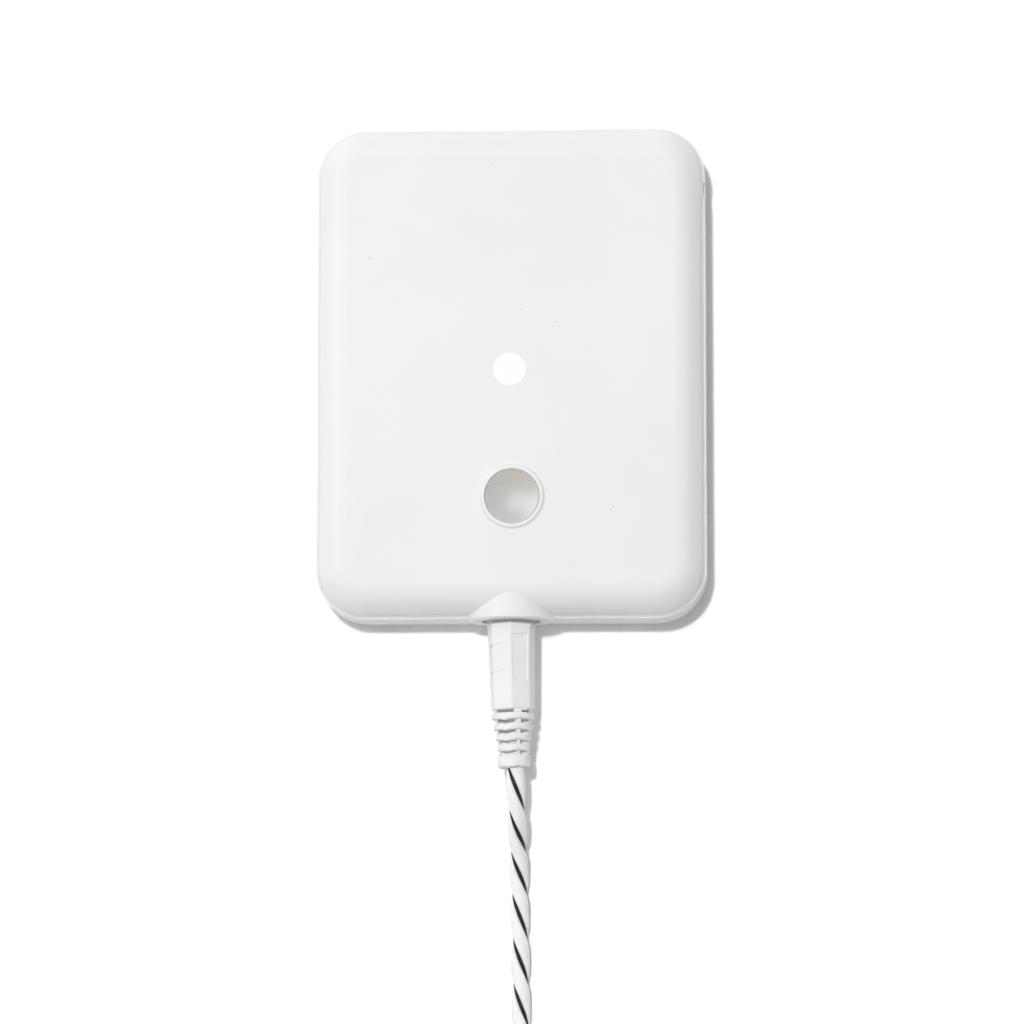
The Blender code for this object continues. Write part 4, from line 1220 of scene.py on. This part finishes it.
@dataclass
class SensingRope:
    """The sensing rope: two white strands and two black sensing wires, coiled, tied and capped."""

    diameter: float = 3.4
    length: float = 1200.0
    route: tuple[Point, ...] = (
        (0.66, -71.00, 8.40), (0.84, -76.00, 8.30), (0.99, -80.50, 7.00), (1.08, -86.00, 4.10),
        (1.16, -92.00, 2.15), (1.24, -98.50, 1.78), (1.36, -108.00, 1.76), (1.50, -118.00, 1.85),
        (1.60, -127.00, 2.25), (1.60, -134.30, 2.65), (1.60, -138.50, 2.65), (1.60, -142.70, 2.65))
    coil_centre: tuple[float, float] = (24.2, -147.0)
    turns: tuple[tuple[float, float], ...] = (
        (22.6, 2.65), (19.2, 2.65), (15.8, 2.65), (15.8, 6.05), (19.2, 6.05), (22.6, 6.05),
        (22.6, 9.45), (19.2, 9.45), (15.8, 9.45))
    turn_steps: int = 24
    last_turn_steps: int = 17
    shift_from: float = 100.0
    shift_over: float = 80.0
    lift_off: tuple[Point, ...] = (
        (258.0, 15.9, 9.6), (276.0, 16.3, 10.2), (296.0, 17.1, 11.2), (318.0, 18.2, 12.3),
        (340.0, 19.1, 13.1), (361.0, 19.6, 13.5), (382.0, 19.8, 13.65), (402.0, 19.7, 13.65))
    into_cap: tuple[Point, ...] = ((-3.6, 0.7, 0.0), (0.6, 0.0, 0.0), (3.5, 0.0, 0.0))
    smooth_parts: int = 16
    cap_start: Point = (18.2, -166.2, 13.65)
    cap_length: float = 12.0
    cap_radius: float = 2.2
    cap_round: float = 0.55
    cap_grooves: tuple[float, ...] = (2.2, 3.6)
    cap_groove_width: float = 0.5
    cap_groove_depth: float = 0.25
    pitch: float = 16.2
    first_angle: float = 177.0
    step: float = 0.8
    strand_depth: float = 0.85
    strand_width: float = 1.25
    wire_radius: float = 0.42
    wire_offset: float = 0.92
    tie_low: Point = (37.8, -149.5, 0.65)
    tie_high: Point = (48.8, -144.5, 11.45)
    tie_round: float = 1.7
    tie_thickness: float = 0.6
    strand_finish: SoftSheath = SoftSheath("rope_strand", (0.92, 0.925, 0.93), (0.88, 0.885, 0.89), 0.42,
                                           has_map=True)
    wire_finish: SoftSheath = SoftSheath("rope_wire", (0.012, 0.012, 0.013), (0.030, 0.030, 0.032), 0.30,
                                         has_map=True)
    tie_finish: LoopStrap = LoopStrap("tie_strap")
    cap_finish: MouldedPlastic = MouldedPlastic("cap_white", (0.82, 0.82, 0.81), (0.79, 0.79, 0.78), 0.48)

    def build(self, plug_pieces: Sequence[Piece]) -> list[Piece]:
        """Args:
            plug_pieces: The pieces of the plug, which is on the rope's near end; not used.

        Returns:
            The rope, the tie and the cap.
        """
        centreline = self.centreline()
        rope = self.twist(centreline)
        tie = self.tie()
        cap = self.cap()
        path = [tuple(v * MILLIMETRE for v in p) for p in centreline[::2]]
        path.append(tuple(v * MILLIMETRE for v in centreline[-1]))
        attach(rope, "housing")
        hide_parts("sensing_rope", "rope_coil")
        LOG.info("%s: %d faces, %.0f mm long", rope.name, len(rope.data.polygons), self.measure(centreline))
        return [rope, tie, cap]

    @staticmethod
    def measure(line: Sequence[Vector]) -> float:
        """Returns a line's length."""
        return sum((b - a).length for a, b in zip(line, line[1:]))

    def centreline(self) -> list[Vector]:
        """Draws the rope's centreline: the free stretch, the coil and the end at the cap.

        Returns:
            Its points at even steps, in millimetres.
        """
        rough = [Vector(p) for p in self.route]
        last = len(self.turns) - 1
        for number, (radius, height) in enumerate(self.turns):
            wide, high = self.turns[min(number + 1, last)]
            for step in range(self.turn_steps if number < last else self.last_turn_steps):
                turned = step * 360.0 / self.turn_steps
                share = min(1.0, max(0.0, (turned - self.shift_from) / self.shift_over))
                share = share * share * (3 - 2 * share)
                rough.append(self.on_coil(turned, radius + (wide - radius) * share,
                                          height + (high - height) * share))
        rough += [self.on_coil(*stop) for stop in self.lift_off]
        rough += [Vector(self.cap_start) + Vector(move) for move in self.into_cap]
        return self.even_steps(self.smoothed(rough))

    def on_coil(self, turned: float, radius: float, height: float) -> Vector:
        """Finds a point round the coil's upright middle line.

        Args:
            turned: How far round it is, in degrees from where the rope joins the coil.
            radius: How far it is from the middle line.
            height: Its height over the floor.

        Returns:
            The point.
        """
        angle = math.radians(180.0 + turned)
        middle = Vector((*self.coil_centre, 0.0))
        return middle + Vector((radius * math.cos(angle), radius * math.sin(angle), height))

    def smoothed(self, points: Sequence[Vector]) -> list[Vector]:
        """Draws a smooth line through points that are spaced unevenly.

        Args:
            points: The points that it passes through.

        Returns:
            The line, with several parts between each two points.
        """
        line = []
        for index in range(len(points) - 1):
            before = points[max(0, index - 1)]
            here, after = points[index], points[index + 1]
            beyond = points[min(len(points) - 1, index + 2)]
            pairs = ((before, here), (here, after), (after, beyond))
            gaps = [max((b - a).length, 0.001) ** 0.5 for a, b in pairs]
            leave = ((here - before) / gaps[0] - (after - before) / (gaps[0] + gaps[1])
                     + (after - here) / gaps[1]) * gaps[1]
            arrive = ((after - here) / gaps[1] - (beyond - here) / (gaps[1] + gaps[2])
                      + (beyond - after) / gaps[2]) * gaps[1]
            if index == 0:
                leave = after - here
            if index == len(points) - 2:
                arrive = after - here
            for part in range(self.smooth_parts):
                t = part / self.smooth_parts
                line.append((2 * t ** 3 - 3 * t ** 2 + 1) * here + (t ** 3 - 2 * t ** 2 + t) * leave
                            + (3 * t ** 2 - 2 * t ** 3) * after + (t ** 3 - t ** 2) * arrive)
        return [*line, points[-1]]

    def even_steps(self, line: Sequence[Vector]) -> list[Vector]:
        """Spreads points evenly along a line.

        Args:
            line: The line.

        Returns:
            The points, from its first end to its last.
        """
        total = self.measure(line)
        count = round(total / self.step)
        points, index, passed = [], 0, 0.0
        for number in range(count + 1):
            wanted = total * number / count
            while index < len(line) - 2 and passed + (line[index + 1] - line[index]).length < wanted:
                passed += (line[index + 1] - line[index]).length
                index += 1
            span = (line[index + 1] - line[index]).length
            points.append(line[index].lerp(line[index + 1], min(1.0, (wanted - passed) / max(span, 1e-6))))
        return points

    def frames(self, line: Sequence[Vector]) -> list[tuple[Vector, Vector]]:
        """Finds two directions across a line at each of its points, which don't turn about it.

        Args:
            line: The line.

        Returns:
            The two directions at each point.
        """
        side, frames = Vector((1.0, 0.0, 0.0)), []
        for index in range(len(line)):
            along = (line[min(index + 1, len(line) - 1)] - line[max(index - 1, 0)]).normalized()
            side = (side - along * side.dot(along)).normalized()
            frames.append((side, along.cross(side)))
        return frames

    def twist(self, line: Sequence[Vector]) -> Piece:
        """Lays the strands and wires round the centreline as one mesh.

        Args:
            line: The centreline.

        Returns:
            The rope, in metres, with its map along and round each strand.
        """
        frames = self.frames(line)
        shape = bmesh.new()
        lay = shape.loops.layers.uv.new("lay")
        strands = ((self.strand_depth, self.strand_width, self.strand_depth, 90.0, 16, 0),
                   (self.strand_depth, self.strand_width, self.strand_depth, 270.0, 16, 0),
                   (self.wire_radius, self.wire_radius, self.wire_offset, 0.0, 8, 1),
                   (self.wire_radius, self.wire_radius, self.wire_offset, 180.0, 8, 1))
        for depth, width, offset, start, sides, surface in strands:
            rings = []
            for index, (point, (side, up)) in enumerate(zip(line, frames)):
                angle = math.radians(self.first_angle + start - 360.0 * index * self.step / self.pitch)
                outward = side * math.cos(angle) + up * math.sin(angle)
                across = up * math.cos(angle) - side * math.sin(angle)
                ring = []
                for corner in range(sides):
                    turn = 2 * math.pi * corner / sides
                    reach = outward * (offset + depth * math.cos(turn)) + across * (width * math.sin(turn))
                    ring.append(shape.verts.new((point + reach) * MILLIMETRE))
                rings.append(ring)
            for index, (ring, after) in enumerate(zip(rings, rings[1:])):
                for corner in range(sides):
                    following = (corner + 1) % sides
                    face = shape.faces.new((ring[corner], ring[following], after[following], after[corner]))
                    face.material_index = surface
                    face.smooth = True
                    low, high = index * self.step / self.pitch, (index + 1) * self.step / self.pitch
                    places = ((corner, low), (corner + 1, low), (corner + 1, high), (corner, high))
                    for loop, (around, along) in zip(face.loops, places):
                        loop[lay].uv = (around / sides, along)
            for ring in (rings[0], rings[-1]):
                shape.faces.new(ring).material_index = surface
        bmesh.ops.recalc_face_normals(shape, faces=shape.faces)
        mesh = bpy.data.meshes.new("twisted_rope")
        shape.to_mesh(mesh)
        shape.free()
        for finish in (self.strand_finish, self.wire_finish):
            mesh.materials.append(finish.material())
        rope = bpy.data.objects.new("twisted_rope", mesh)
        bpy.context.scene.collection.objects.link(rope)
        return rope

    def tie(self) -> Piece:
        """Models the strap round the coil.

        Returns:
            The strap.
        """
        tie = start_block("strap_tie", self.tie_low, self.tie_high)
        with Shaping(tie) as shaping:
            shaping.edges_along(Axis.Y)
            shaping.bevel(self.tie_round, 6)
            shaping.faces(lambda centre, normal: abs(normal.y) > 0.9)
            bpy.ops.mesh.delete(type="FACE")
        only(tie)
        bpy.ops.object.modifier_add(type="SOLIDIFY")
        tie.modifiers[-1].thickness = self.tie_thickness
        tie.modifiers[-1].offset = 1.0
        bpy.ops.object.modifier_apply(modifier=tie.modifiers[-1].name)
        return finished(tie, self.tie_finish.material(), "tie_black", "housing", "coil_tie")

    def cap(self) -> Piece:
        """Models the moulded cap on the rope's end, with two grooves round its mouth.

        Returns:
            The cap.
        """
        cap = start_round("rope_cap", self.cap_radius, self.cap_start, self.cap_length, Axis.X, 48)
        with Shaping(cap) as shaping:
            shaping.edges(lambda a, b: abs(a.x - b.x) < TOUCH)
            shaping.bevel(self.cap_round, 4)
        start, y, z = self.cap_start
        for place in self.cap_grooves:
            groove = start_round("cap_groove", self.cap_radius + 0.5, (start + place, y, z),
                                 self.cap_groove_width, Axis.X, 48)
            core = start_round("groove_core", self.cap_radius - self.cap_groove_depth,
                               (start + place - 1.0, y, z), self.cap_groove_width + 2.0, Axis.X, 48)
            work(groove, core, Fit.CUT)
            work(cap, groove, Fit.CUT)
        return finished(cap, self.cap_finish.material(), "plug_white", "housing", "rope_end_cap")


@dataclass
class InnerWorks:
    """The solids inside the box, which keep their shape and get their finishes."""

    finishes: dict = field(default_factory=lambda: {
        ("cover_screw_", 4): PlatedMetal("screw_zinc", (0.62, 0.63, 0.65), (0.50, 0.50, 0.50), 0.30),
        ("board_screw_", 4): PlatedMetal("board_screw_zinc", (0.60, 0.61, 0.62), (0.48, 0.48, 0.47), 0.32),
        ("switch_plunger", 0): MouldedPlastic("plunger_ivory", (0.80, 0.76, 0.66), (0.76, 0.71, 0.60)),
        ("circuit_board", 0): SolderMask("board_mask"),
        ("switch_body", 0): MouldedPlastic("switch_black", (0.030, 0.030, 0.032), (0.040, 0.039, 0.038),
                                           0.40),
        ("jack_socket", 0): MouldedPlastic("jack_black", (0.026, 0.026, 0.027), (0.036, 0.035, 0.034), 0.36),
        ("radio_module", 0): SolderMask("radio_mask", (0.012, 0.075, 0.130), (0.020, 0.120, 0.190)),
        ("radio_shield", 0): PlatedMetal("shield_nickel", (0.76, 0.74, 0.70), (0.64, 0.62, 0.58), 0.20),
        ("buzzer", 0): MouldedPlastic("buzzer_black", (0.028, 0.028, 0.028), (0.038, 0.037, 0.036), 0.50),
        ("indicator_led", 0): ClearLens("light_lens"),
        ("battery_connector", 0): MouldedPlastic("connector_ivory", (0.80, 0.76, 0.66), (0.77, 0.72, 0.61)),
        ("battery_holder", 0): MouldedPlastic("holder_grey", (0.11, 0.11, 0.12), (0.14, 0.14, 0.145), 0.50),
        ("battery_", 3): CellWrap("cell_sleeve"),
        ("battery_spring_", 3): PlatedMetal("spring_nickel", (0.74, 0.72, 0.69), (0.60, 0.58, 0.55), 0.22),
        ("battery_plate_", 3): PlatedMetal("plate_nickel", (0.76, 0.74, 0.70), (0.62, 0.60, 0.56), 0.20),
        ("battery_lead_red", 0): SoftSheath("red_sheath", (0.58, 0.035, 0.030), (0.48, 0.025, 0.022)),
        ("battery_lead_black", 0): SoftSheath("black_sheath", (0.028, 0.028, 0.028), (0.045, 0.044, 0.043)),
        ("plug_pin", 0): PlatedMetal("pin_nickel", (0.78, 0.76, 0.72), (0.68, 0.66, 0.62), 0.14),
    })

    def build(self, nodes: dict[str, Piece]) -> None:
        """Dresses each solid.

        Args:
            nodes: The frame's solids by name.
        """
        for (name, count), finish in self.finishes.items():
            material = finish.material()
            for label in [f"{name}{n}" for n in range(1, count + 1)] if count else [name]:
                solid = nodes[label]
                if not solid.data.materials:
                    solid.data.materials.append(None)
                for place in solid.material_slots:
                    place.link = "OBJECT"
                    place.material = material
                LOG.info("%s: dressed in %s", label, material.name)


@dataclass(frozen=True)
class Lamp:
    """A soft lamp that points at the sensor, or straight down. One left out of gloss gives no highlight."""

    name: str
    place: Point
    size: tuple[float, float]
    power: float
    in_gloss: bool = True
    points_down: bool = False

    def hang(self) -> None:
        """Hangs the lamp."""
        data = bpy.data.lights.new(self.name, "AREA")
        data.shape = "RECTANGLE"
        data.size, data.size_y = self.size
        data.energy = self.power
        lamp = bpy.data.objects.new(self.name, data)
        bpy.context.scene.collection.objects.link(lamp)
        place = Vector(self.place)
        turned = Matrix() if self.points_down else place.to_track_quat("Z", "Y").to_matrix().to_4x4()
        lamp.matrix_world = Matrix.Translation(place) @ turned
        lamp.visible_glossy = self.in_gloss


@dataclass
class Studio:
    """The pale floor, the soft lamps and the camera above the sensor."""

    camera_place: Point = (45.9, -138.125, 893.0)
    camera_tilt: tuple[float, float] = (-2.962, 7.283)
    lens: float = 172.97
    floor_colour: float = 0.985
    floor_size: float = 8.0
    floor_height: float = -0.0001
    floor_glow: float = 0.06
    sky: float = 0.22
    lamps: tuple[Lamp, ...] = (
        Lamp("key", (-0.115, 0.120, 1.25), (0.07, 0.07), 9.9, in_gloss=False),
        Lamp("left_strip", (-0.265, 0.195, 1.25), (0.035, 0.26), 0.34, points_down=True),
        Lamp("top_strip", (-0.065, 0.44, 1.25), (0.24, 0.035), 0.34, points_down=True),
        Lamp("corner_box", (-0.78, 0.46, 0.90), (0.80, 0.80), 2.0),
        Lamp("near_box", (0.0, -0.90, 0.85), (0.60, 0.60), 1.0, in_gloss=False),
        Lamp("left_panel", (-2.00, 0.16, 0.50), (1.00, 1.00), 2.2, in_gloss=False),
        Lamp("top_panel", (0.08, 2.00, 0.50), (1.00, 1.00), 5.0, in_gloss=False),
    )

    def build(self) -> None:
        """Sets up the camera, floor, lamps and sky."""
        self.camera()
        self.floor()
        for lamp in self.lamps:
            lamp.hang()
        self.sky_light()
        bpy.context.scene.view_settings.view_transform = "Standard"

    def camera(self) -> None:
        """Places the camera where the photograph was taken from."""
        across, along = (math.tan(math.radians(angle)) for angle in self.camera_tilt)
        ahead = Vector((across, along, -1.0)).normalized()
        right = ahead.cross(Vector((0.0, 1.0, 0.0))).normalized()
        up = right.cross(ahead)
        data = bpy.data.cameras.new("portrait_camera")
        data.sensor_width = 36.0
        data.lens = self.lens
        data.clip_start, data.clip_end = 0.01, 20.0
        camera = bpy.data.objects.new("portrait_camera", data)
        bpy.context.scene.collection.objects.link(camera)
        turned = Matrix((right, up, -ahead)).transposed().to_4x4()
        camera.matrix_world = Matrix.Translation(Vector(self.camera_place) * MILLIMETRE) @ turned
        bpy.context.scene.camera = camera

    def floor(self) -> None:
        """Lays the pale floor. A camera sees it a little brighter than it lights the sensor."""
        bpy.ops.object.select_all(action="DESELECT")
        bpy.ops.mesh.primitive_plane_add(size=self.floor_size, location=(0.0, 0.0, self.floor_height))
        floor = bpy.context.object
        floor.name = "studio_floor"
        recipe = Recipe("floor_paper")
        place = recipe.place()
        fibre = recipe.noise(place, 1.0, 3.0)
        colour = recipe.blend(fibre, (self.floor_colour,) * 3, (self.floor_colour - 0.01,) * 3)
        recipe.dress(Base_Color=colour, Roughness=0.9, Specular_IOR_Level=0.0)
        shown = recipe.ray("Camera").larger(recipe.ray("Glossy")).larger(recipe.ray("Transmission"))
        glow = recipe.blend(shown, (0.0, 0.0, 0.0), (self.floor_glow,) * 3)
        recipe.dress(Emission_Color=glow, Emission_Strength=1.0)
        floor.data.materials.append(recipe.material)

    def sky_light(self) -> None:
        """Lights the world softly, and shows it white to the camera and through clear plastic."""
        world = bpy.data.worlds.new("studio_sky")
        world.use_nodes = True
        bpy.context.scene.world = world
        board = NodeBoard(world.node_tree)
        back = board.tree.nodes["Background"]
        shown = board.ray("Camera").larger(board.ray("Transmission"))
        board.feed(back, "Color", (1.0, 1.0, 1.0))
        strength = board.node("ShaderNodeMapRange", {}, {"Value": shown, "To Min": self.sky})
        board.feed(back, "Strength", strength)


def main() -> None:
    """Loads the frame, builds the sensor's pieces in order and sets up the studio."""
    logging.basicConfig(level=logging.INFO, format="%(message)s")
    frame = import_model()
    Studio().build()
    plug = RopePlug().build()
    SensingRope().build(plug)
    Housing().build()
    PressButton().build()
    InnerWorks().build(frame["nodes"])


if __name__ == "__main__":
    main()
